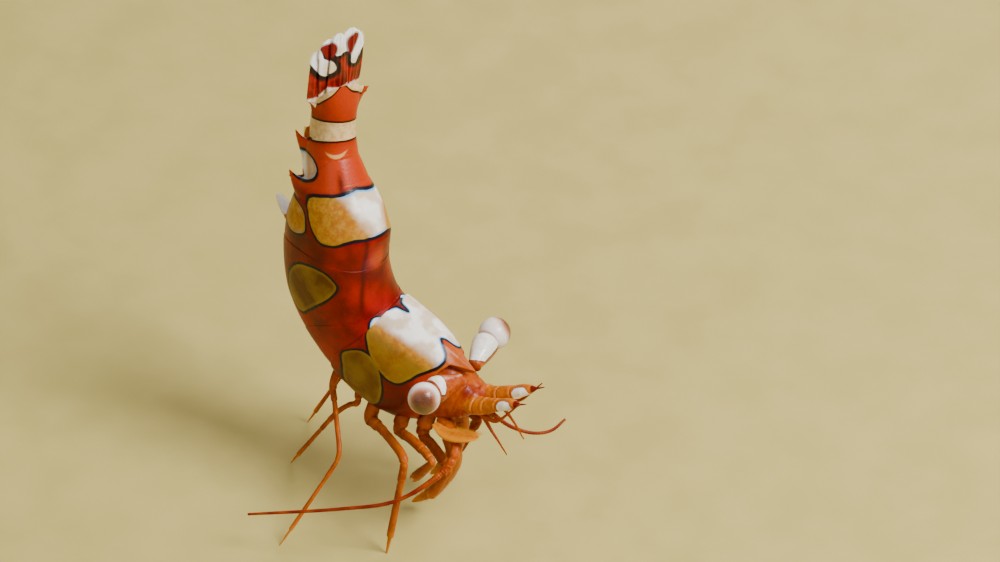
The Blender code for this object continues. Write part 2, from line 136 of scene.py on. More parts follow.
class Finish:
    """A material: its Principled shader takes what is the same all over from `fixed`."""

    def __init__(self, name, fixed):
        self.material = bpy.data.materials.new(name)
        self.material.use_nodes = True
        self.tree = self.material.node_tree
        self.shader = self.tree.nodes["Principled BSDF"]
        for socket, value in fixed.items():
            self.shader.inputs[socket].default_value = value

    def node(self, kind, settings, sockets, output=0):
        """Adds one node: its settings first, then a value or a Wire for each socket."""
        made = self.tree.nodes.new(kind)
        for name, value in settings.items():
            setattr(made, name, value)
        for name, value in sockets.items():
            if isinstance(value, Wire):
                self.tree.links.new(value.socket, made.inputs[name])
            else:
                made.inputs[name].default_value = value
        return Wire(self, made.outputs[output])

    def place(self):
        """Object coordinates, in millimetres."""
        metres = self.node("ShaderNodeTexCoord", {}, {}, "Object")
        return self.node("ShaderNodeVectorMath", {"operation": "SCALE"}, {0: metres, "Scale": 1000.0})

    def noise(self, place, size, detail=2.0, rough=0.5):
        """Cloudy noise from 0 to 1 whose lumps are about `size` millimetres."""
        sockets = {"Vector": place, "Scale": 1.0 / size, "Detail": detail, "Roughness": rough}
        return self.node("ShaderNodeTexNoise", {}, sockets)

    def cells(self, place, size):
        """Distance to the nearest of scattered points that are about `size` apart."""
        return self.node("ShaderNodeTexVoronoi", {}, {"Vector": place, "Scale": 1.0 / size})

    def read(self, attribute):
        """A number that the mesh carries at each vertex."""
        return self.node("ShaderNodeAttribute", {"attribute_name": attribute}, {}, "Fac")

    def mix(self, factor, first, second):
        """Colour: first where factor is 0, second where it is 1."""
        sockets = {0: factor}
        for index, colour in ((6, first), (7, second)):
            sockets[index] = colour if isinstance(colour, Wire) else (*colour, 1.0)
        return self.node("ShaderNodeMix", {"data_type": "RGBA"}, sockets, 2)

    def layers(self, colour, *over):
        """A colour with others laid over it in turn, each given as (factor, colour)."""
        for factor, layer in over:
            colour = self.mix(factor, colour, layer)
        return colour

    def relief(self, height, depth):
        """A bumped normal: height 0 to 1 stands for `depth` millimetres."""
        return self.node("ShaderNodeBump", {}, {"Height": height, "Distance": depth * MM})

    def finish(self, **wires):
        """Links the Wires to the shader's sockets, named with _ for a space."""
        for name, wire in wires.items():
            self.tree.links.new(wire.socket, self.shader.inputs[name.replace("_", " ")])
        return self.material


# ------------------------------------------------------------------ floor and light
# A pale studio table in a soft room: one large key lamp above and behind the animal's left
# shoulder, a broad fill from the viewer's left and a low rim lamp.
TABLE_HALF_WIDTH = 2.0  # metres
BODY_MIDDLE = np.array([0.0, 0.0, 9.0])


def add_floor():
    """A level, square table top."""
    mesh = bpy.data.meshes.new("floor")
    corners = np.array([(-1, -1, 0), (1, -1, 0), (1, 1, 0), (-1, 1, 0)]) * TABLE_HALF_WIDTH
    mesh.from_pydata(corners.tolist(), [], [(0, 1, 2, 3)])
    table = Finish("studio_table", {"Roughness": 0.7})
    grain = table.noise(table.place(), 2.5, 3.0)
    tone = table.mix(grain.step(0.3, 0.7), (0.45, 0.375, 0.10), (0.50, 0.415, 0.12))
    mesh.materials.append(table.finish(Base_Color=tone))
    floor = add_object("floor", mesh)


def add_lamp(name, azimuth, elevation, distance, size, watts, colour):
    """A square area lamp aimed at the animal's middle; sizes in millimetres."""
    data = bpy.data.lights.new(name, "AREA")
    data.size = size * MM
    data.energy = watts
    data.color = colour
    add_aimed(name, data, BODY_MIDDLE, azimuth, elevation, distance)


add_floor()
add_lamp("key_lamp", 95.0, 52.0, 160.0, 60.0, 0.46, (1.0, 0.97, 0.92))
add_lamp("fill_lamp", -10.0, 35.0, 220.0, 160.0, 0.10, (1.0, 0.94, 0.84))
add_lamp("rim_lamp", 190.0, 30.0, 160.0, 80.0, 0.14, (1.0, 0.93, 0.80))
room = bpy.data.worlds.new("room")
room.use_nodes = True
air = room.node_tree.nodes["Background"].inputs
air["Color"].default_value = (1.0, 0.93, 0.78, 1.0)
air["Strength"].default_value = 0.34
bpy.context.scene.world = room


# ------------------------------------------------------------------ shell plates
# The carapace and the six somites are hard, thin plates of chitin that slide under each
# other: each one's rear rim overlaps the front of the next. They are grown, not fastened,
# and hold together by soft skin under the rims.
#
# All are drawn on a straight body, in (s, left, up) round a centre line, where s runs
# backwards from the carapace's rear edge, and then bent with that line.
DORSAL_HEIGHT = 9.5
CARAPACE_HALF_HEIGHT = 2.42
CARAPACE_PITCH = 21.0
LINE_AT = [0.0, 1.0, 2.0, 3.0, 4.2, 5.2, 6.2, 7.5, 8.5, 10.0, 11.5, 14.5]
LINE_RISE = [30.0, 47.0, 62.0, 75.0, 86.0, 88.0, 84.0, 73.0, 72.0, 82.0, 88.0, 78.0]
LINE_LEAN = [0.0, 0.0, 0.0, 1.0, 3.0, 6.0, 10.0, 14.0, 16.0, 16.0, 16.0, 16.0]
LINE_TWIST = [0.0, 4.0, 8.0, 12.0, 16.0, 18.0, 20.0, 21.0, 22.0, 22.0, 22.0, 22.0]
LINE_START, LINE_END, LINE_STEP = -8.0, 14.6, 0.02
LINE_BLEND = 0.8  # the arc length over which the line takes up its rise


def ramp(x, start=0.0, width=1.0):
    """0 before start and a straight rise to 1 over width; it falls where width is negative."""
    return np.clip((x - start) / width, 0.0, 1.0)


def bump(x, at, width):
    """A smooth hump, 1 at `at` and 1/e at `width` to either side."""
    return np.exp(-(((x - at) / width) ** 2))


def turns(count):
    """Angles at even steps once round, from 0."""
    return np.linspace(0.0, 2.0 * math.pi, count, endpoint=False)


def centre_line():
    """Arc lengths, points and the frame (left, up) of the body's centre line.

    Its tangent rises, leans and twists as the lists above say, and its points are the
    running sum of the tangents. Ahead of s = 0 it is straight.
    """
    arc = np.arange(LINE_START, LINE_END, LINE_STEP)
    rise = np.where(arc < 0.0, CARAPACE_PITCH, np.interp(arc, LINE_AT, LINE_RISE))
    rise = np.radians(CARAPACE_PITCH + (rise - CARAPACE_PITCH) * ramp(arc, 0.0, LINE_BLEND))
    lean = np.radians(np.interp(arc, LINE_AT, LINE_LEAN))
    twist = np.radians(np.interp(arc, LINE_AT, LINE_TWIST))[:, None]
    back = np.stack([-np.cos(rise) * np.cos(lean), np.sin(lean), np.sin(rise) * np.cos(lean)], 1)
    up = np.stack([np.sin(rise), np.zeros_like(rise), np.cos(rise)], 1)
    left = np.cross(back, up)
    points = np.cumsum(back * LINE_STEP, 0)
    start = int(np.argmin(np.abs(arc)))
    rear_centre = np.array([0.0, 0.0, DORSAL_HEIGHT]) - CARAPACE_HALF_HEIGHT * up[start]
    turned_left = left * np.cos(twist) + up * np.sin(twist)
    turned_up = up * np.cos(twist) - left * np.sin(twist)
    return arc, points - points[start] + rear_centre + SHIFT, turned_left, turned_up


ARC, LINE_POINTS, LINE_LEFT, LINE_UP = centre_line()


def bent(s, left, up):
    """World points, in millimetres, of straight-body coordinates of any matching shapes."""
    s, left, up = np.broadcast_arrays(s, left, up)
    tables = (LINE_POINTS, LINE_LEFT, LINE_UP)
    middle, to_left, to_top = (np.stack([np.interp(s, ARC, column) for column in table.T], -1) for table in tables)
    return middle + left[..., None] * to_left + up[..., None] * to_top


def add_piece(name, points, faces, material, numbers, nodes):
    """A piece from vertices in millimetres, with one number for each vertex and attribute.

    It rides on the body and stands for the solids in `nodes`.
    """
    mesh = bpy.data.meshes.new(name)
    mesh.from_pydata(points * MM, [], faces)
    mesh.materials.append(material)
    for attribute, values in numbers.items():
        layer = mesh.attributes.new(attribute, "FLOAT", "POINT")
        layer.data.foreach_set("value", values.astype(np.float32))
    piece = add_object(name, mesh)
    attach(piece, "root")
    if nodes:
        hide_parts(*nodes)
    return mesh


def add_surface(name, grid, material, numbers, nodes):
    """A piece from a (rows, columns, 3) grid in millimetres, closed to a point at each end.

    The end points are the middles of the first and last rows. `numbers` maps an attribute's
    name to its (rows, columns) values.
    """
    rows, columns, _ = grid.shape
    points = np.vstack([grid.reshape(-1, 3), grid[0].mean(0), grid[-1].mean(0)])
    here = np.arange(rows * columns).reshape(rows, columns)
    after = np.roll(here, -1, 1)
    quads = np.stack([here[:-1], after[:-1], after[1:], here[1:]], -1).reshape(-1, 4)
    first, last = (np.full(columns, rows * columns + end) for end in (0, 1))
    caps = np.vstack([np.stack([first, after[0], here[0]], 1), np.stack([last, here[-1], after[-1]], 1)])
    # The faces are turned round where the volume they enclose comes out below 0.
    triangles = points[np.vstack([quads[:, :3], quads[:, [0, 2, 3]], caps])] - points.mean(0)
    if (triangles[:, 0] * np.cross(triangles[:, 1], triangles[:, 2])).sum() < 0.0:
        quads, caps = quads[:, ::-1], caps[:, ::-1]
    each = {}
    for attribute, values in numbers.items():
        values = np.broadcast_to(values, (rows, columns))
        each[attribute] = np.concatenate([values.ravel(), [values[0].mean(), values[-1].mean()]])
    faces = quads.tolist() + caps.tolist()
    add_piece(name, points, faces, material, each, nodes).shade_smooth()


# The cuts between the plates, as in the solids: place on the back, bow on the flanks, slope
# towards the belly, and the tooth drawn out at each pleuron's corner.
CUT_AT = (0.0, 1.5, 4.6, 7.3, 8.75, 10.05, 11.85)
CUT_BOW = (0.75, 0.45, 0.35, 0.0, 0.0, 0.0, 0.0)
CUT_SLOPE = (0.0, 0.0, 0.0, -0.6, -1.5, -1.3, -1.5)
CUT_TOOTH = (0.0, 0.0, 0.0, 0.1, 0.42, 0.48, 0.10)
GIRTH_AT = [0.0, 1.2, 3.0, 4.5, 5.8, 6.8, 7.6, 8.6, 9.6, 10.6, 11.8]
GIRTH_WIDE = [1.80, 1.80, 1.84, 1.80, 1.76, 1.54, 1.18, 0.90, 0.80, 0.80, 0.96]
GIRTH_ABOVE = [2.42, 2.20, 2.12, 2.10, 2.36, 1.96, 1.30, 0.96, 0.90, 0.94, 0.80]
GIRTH_BELOW = [2.05, 2.05, 2.42, 2.45, 2.30, 2.05, 1.72, 1.36, 1.15, 0.98, 0.80]
PLEURON_ANGLE = math.radians(128.0)
TOOTH_SPREAD = math.radians(17.0)
TAIL_SPINE_ANGLE = math.radians(83.0)
TAIL_ROLL = math.radians(21.0)
TOOTH_FLARE = (0.40, 0.52, 0.38)
PLEURON_FULLNESS = 0.13
FIRST_TOOTHED, LAST_FULL = 3, 4  # somites, counted from 0, with teeth and with full margins
LAST_CUT = 6
GROOVE_DEPTH = 0.5
GROOVE_INNER, GROOVE_OUTER = 0.50, 0.70
PLATE_CUT = 0.02
PLATE_COLUMNS = 224


def pleuron_tooth(angle, index=0):
    """1 at the pleuron's corner, falling to 0 on either side along a sharp cusp.

    On the last cut it is the spine on each side of the tail fan, which is a little rolled.
    """
    corner, roll = (TAIL_SPINE_ANGLE, TAIL_ROLL) if index == LAST_CUT else (PLEURON_ANGLE, 0.0)
    away = ramp(np.abs(np.abs(angle + roll) - corner), TOOTH_SPREAD, -TOOTH_SPREAD)
    return away**1.3


def cut_at(index, angle):
    """Arc length of a cut round the body, for angles measured from the middle of the back."""
    belly = 0.5 - 0.5 * np.cos(angle)
    edge = CUT_AT[index] + CUT_BOW[index] * np.sin(angle) ** 2 + CUT_SLOPE[index] * belly
    return edge + CUT_TOOTH[index] * pleuron_tooth(angle, index)


def soft_ring(s, angle, places, halves, power):
    """Outline (left, up): sines and cosines raised to powers below 1, so a little squared.

    `halves` are the half-width, the height above and the depth below, at the same places.
    """
    wide, above, below = (np.interp(s, places, half) for half in halves)
    sine, cosine = np.sin(angle), np.cos(angle)
    left = wide * np.sign(sine) * np.abs(sine) ** power
    return left, np.where(cosine > 0.0, above * np.abs(cosine) ** 0.95, -below * np.abs(cosine) ** 0.8)


def girth(s, angle):
    """The abdomen's outline (left, up): a soft ring with a groove along its underside."""
    left, up = soft_ring(s, angle, GIRTH_AT, (GIRTH_WIDE, GIRTH_ABOVE, GIRTH_BELOW), 0.85)
    inward = ramp(np.abs(left) / np.interp(s, GIRTH_AT, GIRTH_WIDE), GROOVE_OUTER, GROOVE_INNER - GROOVE_OUTER)
    depth = GROOVE_DEPTH * np.interp(s, GIRTH_AT, GIRTH_BELOW) * ramp(s) * (np.cos(angle) < 0.0)
    return left, up + depth * inward**2 * (3.0 - 2.0 * inward)


def across_back(left, up):
    """Distance round a ring of body points from the middle of the back, the same each side.

    Column 0 is the middle of the back. The length is summed along each half of the ring.
    """
    columns = left.shape[1]
    half = columns // 2 + 1
    steps = np.hypot(np.diff(left[:, :half], axis=1), np.diff(up[:, :half], axis=1))
    run = np.concatenate([np.zeros((len(left), 1)), np.cumsum(steps, 1)], 1)
    return np.concatenate([run, run[:, 1:-1][:, ::-1]], 1)


# The pale marks on the plates, as outlines in (s, distance from the middle of the back)
SADDLE = [(-0.72, -0.5), (-0.60, 0.03), (-0.12, 0.20), (0.05, 0.45), (0.60, 0.60), (1.18, 0.70),
          (1.38, 0.88), (1.26, 1.08), (1.00, 1.30), (0.62, 1.52), (0.08, 1.96), (-0.42, 2.46),
          (-1.10, 2.80), (-1.65, 2.85), (-2.08, 2.55), (-2.45, 1.70), (-2.88, 0.85),
          (-2.85, 0.42), (-2.25, 0.06), (-2.05, -0.5)]
SIDE_MARK = [(0.30, 3.95), (0.62, 3.30), (0.35, 2.80), (-0.35, 2.54), (-1.02, 2.82), (-1.50, 3.55),
             (-1.56, 4.45), (-1.15, 5.20), (-0.50, 5.30), (0.0, 4.90)]
REAR_SADDLE = [(6.15, -0.6), (6.02, 0.9), (5.76, 1.75), (5.74, 2.30), (5.98, 2.66), (6.45, 2.74),
               (6.92, 2.50), (7.20, 1.90), (7.30, 0.80), (7.36, -0.6)]
OLIVE_MARK = [(3.95, 1.62), (4.48, 2.15), (4.40, 3.30), (3.75, 4.25), (2.90, 4.55), (2.45, 4.05),
              (2.85, 2.95), (3.35, 2.05)]
OVAL_MARK = [(6.52, 3.08), (6.80, 3.60), (6.60, 4.50), (6.10, 4.95), (5.62, 4.75), (5.50, 4.05), (5.80, 3.30)]
TOOTH_MARK = [(8.76, 2.45), (8.70, 1.85), (8.45, 1.48), (8.17, 1.36), (7.90, 1.60), (7.76, 2.10), (7.78, 2.65),
              (8.05, 3.00), (8.55, 2.95)]
PALE_MARKS = (SADDLE, SIDE_MARK, REAR_SADDLE, OLIVE_MARK, OVAL_MARK, TOOTH_MARK)
CREAM_BAND = (9.43, 10.23)  # from and to, in s


def span_curve(a, b, c, d, t):
    """Catmull-Rom curve from b, at t = 0, to c, at t = 1: its tangents run a-c and b-d."""
    return 0.5 * (2 * b + (c - a) * t + (2 * a - 5 * b + 4 * c - d) * t**2 + (3 * (b - c) + d - a) * t**3)


def smooth_loop(outline, per_span=14):
    """A smooth closed curve through the outline's points."""
    corners = (np.roll(np.array(outline), shift, 0)[:, None, :] for shift in (1, 0, -1, -2))
    return span_curve(*corners, (np.arange(per_span) / per_span)[None, :, None]).reshape(-1, 2)


def inside_distance(s, across, outline):
    """Distance to a smooth outline, below 0 inside it.

    The distance is the least to any of its short edges, and the side is told by how many
    of them a ray along +s crosses.
    """
    start = smooth_loop(outline)
    end = np.roll(start, -1, 0)
    points = np.stack([s.ravel(), across.ravel()], 1)
    least = np.full(len(points), np.inf)
    crossings = np.zeros(len(points), int)
    for a, b in zip(start, end):
        edge = b - a
        along = np.clip((points - a) @ edge / max(edge @ edge, 1e-12), 0.0, 1.0)
        gap = points - a - along[:, None] * edge
        least = np.minimum(least, np.hypot(gap[:, 0], gap[:, 1]))
        if a[1] != b[1]:
            spans = (a[1] > points[:, 1]) != (b[1] > points[:, 1])
            crossing = a[0] + (points[:, 1] - a[1]) * edge[0] / edge[1]
            crossings += spans & (points[:, 0] < crossing)
    return np.where(crossings % 2 == 1, -least, least).reshape(s.shape)


def plate_numbers(s, across, angle):
    """What the shell's finish reads at each point of a plate.

    mark: distance to the nearest pale mark, below 0 inside. amber: the mark's tint, and in
    the saddles painted shade that turns them from pearl to honey lower down. band: distance
    to the plain cream bands. warm: how orange the red ground is, with a painted orange
    highlight on the back near s = 5. dark: soft dark lines, a darker patch low on the
    carapace's side, and painted shade low on the abdomen's flanks. glint: the small pale
    crescent on the fifth somite's back.
    """
    distances = np.array([inside_distance(s, across, outline) for outline in PALE_MARKS])
    # Painted shade: the saddles turn from pearl to honey down the flanks, and the rear one keeps its pearl only a
    # little left of the middle of the back.
    front_saddle_shade = (across - 0.85 - 0.1 * (s + 1.0)) / 0.75
    signed = across * np.sign(angle)  # above 0 on the left
    rear_saddle_shade = (np.abs(signed - 0.35) - 0.45 + 0.7 * (6.9 - s)) / 0.8
    # In the marks' order: 0 is pearl, 1 honey and 2 olive brown.
    tints_and_shade = (1.6 * ramp(front_saddle_shade), 1.8, ramp(rear_saddle_shade), 2.0, 0.95,
             np.minimum(ramp(across, 2.35, -0.6), 0.75))
    amber = np.choose(distances.argmin(0), [np.broadcast_to(tint, s.shape) for tint in tints_and_shade])
    wavy = s + 0.05 * across - 0.03 * np.sin(3.0 * across)
    # Neither the cream band nor the pale marks run on over the teeth.
    tooth = pleuron_tooth(angle) * ((s > 7.0) * (s < 7.97) + (s > 9.0) * (s < 9.45))
    ring = np.maximum.reduce([CREAM_BAND[0] - wavy, wavy - CREAM_BAND[1], tooth - 0.35])
    rim = cut_at(LAST_CUT, angle) - 0.24 + 0.34 * bump(signed, -0.3, 0.3) - s
    rim = np.maximum(rim, np.maximum(np.abs(angle) - 1.9, pleuron_tooth(angle, LAST_CUT) - 0.35))
    glint = 1.2 - ((s - 8.74 - (signed + 0.45) ** 2) / 0.11) ** 2 - ((signed + 0.42) / 0.52) ** 2
    warm = np.interp(s, [-4.2, -3.1, -2.7, -2.3, 0.0, 4.0, 7.2, 7.6, 8.9, 9.3, 10.4, 11.2],
                     [0.95, 0.90, 0.55, 0.12, 0.05, 0.12, 0.12, 0.95, 1.05, 0.60, 0.60, 0.80])
    # A painted orange highlight on the back, near s = 5.
    orange_highlight = bump(s, 5.0, 0.5) * bump(signed, 0.25, 0.35)
    brow = ramp(s, -1.9, -0.4) * ramp(across, 1.5, -0.5)
    stripe = np.interp(s, [2.0, 2.4, 3.9, 5.2, 6.2, 7.4, 8.2], [1.1, 0.98, 0.51, 0.39, 0.30, 0.60, 0.45])
    stripe = bump(signed, -stripe, 0.13) * ramp(s, 1.5) * ramp(s, 8.3, -0.5)
    # Painted shade: the red darkens low on the abdomen's flanks.
    flank_shade = ramp(across, 1.3, 1.0) * bump(s, 5.0, 1.6)
    belly = ramp(np.abs(angle), 2.0, 0.8)
    cheek = ramp(across, 1.9, 0.6) * bump(s, -1.9, 0.9)
    return {"mark": np.maximum(distances.min(0), 0.5 * (tooth - 0.4)), "amber": amber,
            "band": np.minimum(ring, rim), "glint": ramp(glint),
            "warm": np.clip(warm + 1.2 * orange_highlight + 0.3 * belly + 0.9 * brow, 0.0, 2.0),
            "dark": ramp(0.8 * stripe + 0.45 * flank_shade + 0.6 * cheek)}


def shell_finish(name):
    """Polished chitin: red ground with darker flecks, and pearly marks ringed in black.

    The marks' rims waver a little. Just inside the black rim runs a thin pale-blue line.
    """
    shell = Finish(name, {
        "Specular IOR Level": 0.24, "Coat Weight": 0.07, "Coat Roughness": 0.15, "IOR": 1.4,
        "Subsurface Weight": 0.10, "Subsurface Radius": (1.0, 0.25, 0.10), "Subsurface Scale": 0.3 * MM,
    })
    place = shell.place()
    broad = shell.noise(place, 1.3, 3.0)
    fine = shell.noise(place, 0.22, 3.0, 0.6)
    flecks = shell.cells(place, 0.11)
    mark = shell.read("mark") + (shell.noise(place, 0.35) - 0.5) * 0.05
    band = shell.read("band") + (fine - 0.5) * 0.04
    warm = shell.read("warm") + (broad - 0.5) * 0.55

    # The dark layer carries painted shade low on the abdomen's flanks, and warm a painted orange highlight on the
    # back.
    ground = shell.layers(
        (0.10, 0.0006, 0.0002),
        (broad.step(0.30, 0.72), (0.30, 0.0014, 0.0003)),
        (warm.step(0.05, 0.95), (0.42, 0.030, 0.0002)),
        (warm.step(0.90, 1.8), (0.42, 0.080, 0.0002)),
        (flecks.step(0.42, 0.10) * 0.30, (0.30, 0.004, 0.0004)),
        (shell.read("dark"), (0.045, 0.0003, 0.0002)),
    )
    # Honey over the pearl is each mark's own tint, and on the saddles painted shade down the flanks.
    tint = shell.read("amber") + (broad - 0.5) * 0.8
    amber = tint.step(0.0, 1.0)
    clouds = shell.noise(place, 0.7, 2.0)
    pearl = shell.mix(clouds.step(0.35, 0.62), (0.66, 0.53, 0.40), (0.94, 0.91, 0.89))
    honey = shell.mix(fine.step(0.3, 0.7), (0.36, 0.12, 0.003), (0.48, 0.23, 0.012))
    olive = shell.mix(broad.step(0.38, 0.62), (0.10, 0.032, 0.002), (0.21, 0.11, 0.005))
    filling = shell.layers(
        pearl, (amber, honey), (tint.step(1.05, 1.9), olive),
        (mark.step(-0.16, -0.06) * amber * 0.3, (0.30, 0.20, 0.01)),
        (mark.step(-0.075, -0.03) * (1.0 - amber), (0.10, 0.36, 0.80)),
    )
    cream = shell.mix(fine.step(0.3, 0.7), (0.54, 0.34, 0.13), (0.74, 0.53, 0.26))
    colour = shell.layers(
        ground,
        (shell.read("glint").step(0.1, 1.0) * 0.85, (0.72, 0.38, 0.12)),
        (mark.step(0.135, 0.085), (0.006, 0.004, 0.008)),
        (mark.step(0.012, -0.012), filling),
        (band.step(0.12, 0.06), (0.022, 0.0008, 0.0006)),
        (band.step(0.01, -0.01), cream),
    )
    relief = shell.relief(fine * 0.6 + flecks * 0.4, 0.012)
    return shell.finish(Base_Color=colour, Roughness=0.30 + fine * 0.14, Normal=relief)


plate_finish = shell_finish("shell_plates")


# A plate's ends, as steps along the body and scales. Its front is tucked under the plate
# before, or into the head, and its rear rim is rounded and turns back under itself.
TUCKED = np.array([[-0.28, 0.96], [-0.14, 0.98], [-0.03, 0.995]])
CARAPACE_LEAD = np.array([[0.45, 0.76], [0.10, 0.90], [0.015, 0.975]])
TURNED_RIM = np.array([[0.02, 0.994], [0.028, 0.985], [0.02, 0.975], [-0.03, 0.965], [-0.22, 0.955]])


def plate_rows(front, rear, lead, rows):
    """Arc lengths, scales and shares of the way to the rear, row by row, of one plate."""
    share = np.linspace(0.0, 1.0, rows)[:, None]
    s = np.vstack([front + lead[:, :1], front + (rear - front) * share, rear + TURNED_RIM[:, :1]])
    scale = np.concatenate([lead[:, 1], np.ones(rows), TURNED_RIM[:, 1]])[:, None]
    shares = np.concatenate([np.zeros(len(lead)), share[:, 0], np.ones(len(TURNED_RIM))])[:, None]
    return s, scale, shares


def ring_angles():
    """Angles round the body, from -180 to 180 degrees, starting at the middle of the back."""
    angle = turns(PLATE_COLUMNS)
    return np.where(angle > math.pi, angle - 2.0 * math.pi, angle)


def somite_swell(share):
    """A plate is narrow where it slides under the one before and full at its rear rim."""
    rise = 0.991 + 0.009 * np.sin(np.minimum(share * 1.6, 1.0) * math.pi / 2)
    return rise + 0.001 * ramp(share, 0.90, 0.10) ** 2


def add_somite(index):
    """One somite's plate, closed underneath, with its pleura drawn down at the sides."""
    angle = ring_angles()
    front = cut_at(index, angle) + PLATE_CUT / 2
    rear = cut_at(index + 1, angle) - PLATE_CUT / 2
    s, scale, share = plate_rows(front, rear, TUCKED, 72)
    left, up = girth(s, angle)
    full_scale = scale * somite_swell(share)
    left, up = left * full_scale, up * full_scale
    if index >= FIRST_TOOTHED:
        full = bump(np.abs(angle), 1.95, 0.42) * np.sin(0.7 * math.pi * share) * (index <= LAST_FULL)
        growth = share ** (1.3 if index <= LAST_FULL else 3.0)
        flare = 1.0 + TOOTH_FLARE[index - FIRST_TOOTHED] * pleuron_tooth(angle, index + 1) * growth
        flare = flare + PLEURON_FULLNESS * full
        left, up = left * flare, up * flare
    across = across_back(left, up)
    numbers = plate_numbers(s, across, np.broadcast_to(angle, s.shape))
    name = f"somite_{index + 1}"
    add_surface(f"plate_{name}", bent(s, left, up), plate_finish, numbers, [name])


CARAPACE_LENGTH = 3.2
ROSTRUM_LENGTH = 0.95
SHIELD_AT = [-4.2, -3.2, -2.4, -1.4, -0.4, 0.8]
SHIELD_WIDE = [1.0, 1.22, 1.62, 1.84, 1.86, 1.82]
SHIELD_ABOVE = [1.98, 2.10, 2.32, 2.42, 2.42, 2.40]
SHIELD_BELOW = [1.30, 1.62, 2.16, 2.42, 2.42, 2.20]


def add_carapace():
    """The shield over head and thorax, with its rostrum, eye notches and cheek spines."""
    angle = ring_angles()
    degrees = np.degrees(np.abs(angle))
    rostrum = ROSTRUM_LENGTH * ramp(degrees, 20.0, -20.0) ** 1.15
    notch = 0.16 * bump(degrees, 42.0, 13.0)
    spine = 0.22 * ramp(np.abs(degrees - 72.0), 7.0, -7.0) ** 1.3
    front = -CARAPACE_LENGTH - rostrum + notch - spine
    rear = cut_at(0, angle) - PLATE_CUT / 2
    s, scale, _ = plate_rows(front, rear, CARAPACE_LEAD, 110)
    swell = 1.0 + 0.006 * ramp(s, rear - 0.18, 0.18) * (s <= rear)
    left, up = soft_ring(s, angle, SHIELD_AT, (SHIELD_WIDE, SHIELD_ABOVE, SHIELD_BELOW), 0.9)
    keel = 0.10 * bump(degrees, 0.0, 7.0) * ramp(-s, 1.8, 1.4)
    left, up = left * scale * swell, (up + keel) * scale * swell
    numbers = plate_numbers(s, across_back(left, up), np.broadcast_to(angle, s.shape))
    add_surface("plate_carapace", bent(s, left, up), plate_finish, numbers, ["carapace"])


add_carapace()
for somite in range(len(CUT_AT) - 1):
    add_somite(somite)


# ------------------------------------------------------------------ soft head
# Under the rostrum the head's thin orange shell runs forward, over two lobes, to the first
# joints of the feelers. It is one skin, see-through at its edges, over yellowish flesh.
HEAD_OVALS = (
    (2.9, 0.15, 1.62, 1.14),
    (3.3, 0.16, 1.54, 1.15),
    (3.6, 0.22, 1.42, 1.13),
    (3.9, 0.32, 1.26, 1.08),
    (4.3, 0.46, 1.00, 0.96),
    (4.65, 0.62, 0.80, 0.86),
    (4.9, 0.80, 0.52, 0.68),
    (4.98, 0.86, 0.28, 0.42),
)


def smooth_path(control, count):
    """A smooth curve through rows of numbers, evenly spread in its parameter."""
    control = np.asarray(control, float)
    padded = np.vstack([2 * control[0] - control[1], control, 2 * control[-1] - control[-2]])
    at = np.linspace(0.0, len(control) - 1.0, count)
    span = np.minimum(at.astype(int), len(control) - 2)
    t = (at - span).reshape((-1,) + (1,) * (control.ndim - 1))
    return span_curve(*(padded[span + k] for k in range(4)), t)


def soft_finish(name):
    """Thin orange shell over pale flesh, clouded with red and flecked with yellow.

    It reads white (opaque pearl patches), dark (wine red pigment, and on the head's
    underside painted shade) and clear (thin, yellow and see-through) from the mesh.
    """
    skin = Finish(name, {
        "Specular IOR Level": 0.24, "Coat Weight": 0.06, "Coat Roughness": 0.15, "IOR": 1.4,
        "Subsurface Weight": 0.15, "Subsurface Radius": (1.0, 0.35, 0.08), "Subsurface Scale": 0.35 * MM,
    })
    place = skin.place()
    broad = skin.noise(place, 0.75, 3.0, 0.6)
    fine = skin.noise(place, 0.16, 3.0, 0.6)
    spots = skin.cells(place, 0.17)
    clear = skin.read("clear") + (fine - 0.5) * 0.5
    dark = skin.read("dark") + (fine - 0.5) * 0.6
    white = skin.read("white") + (fine - 0.5) * 0.16
    colour = skin.layers(
        (0.23, 0.008, 0.0002),
        (broad.step(0.34, 0.66), (0.42, 0.062, 0.0002)),
        (fine.step(0.45, 0.75) * 0.5, (0.47, 0.12, 0.0003)),
        (spots.step(0.34, 0.08) * 0.35, (0.20, 0.004, 0.0003)),
        (clear.step(-0.15, 0.85), (0.66, 0.23, 0.0006)),
        (dark.step(0.1, 0.9), (0.15, 0.0025, 0.0003)),
        (white.step(0.36, 0.46) * (1.0 - white.step(0.5, 0.6)) * 0.35, (0.05, 0.02, 0.015)),
        (white.step(0.48, 0.58), skin.mix(fine.step(0.3, 0.7), (0.88, 0.85, 0.80), (0.96, 0.95, 0.93))),
    )
    relief = skin.relief(fine * 0.55 + spots * 0.45, 0.012)
    return skin.finish(Base_Color=colour, Roughness=0.30 + fine * 0.2, Normal=relief)


orange_finish = soft_finish("orange_shell")


def add_soft(name, grid, nodes, dark=0.0, clear=0.0, white=0.0):
    """A piece of the thin orange shell, with the numbers that its finish reads."""
    numbers = {"dark": dark, "clear": clear, "white": white}
    add_surface(name, grid, orange_finish, numbers, nodes)


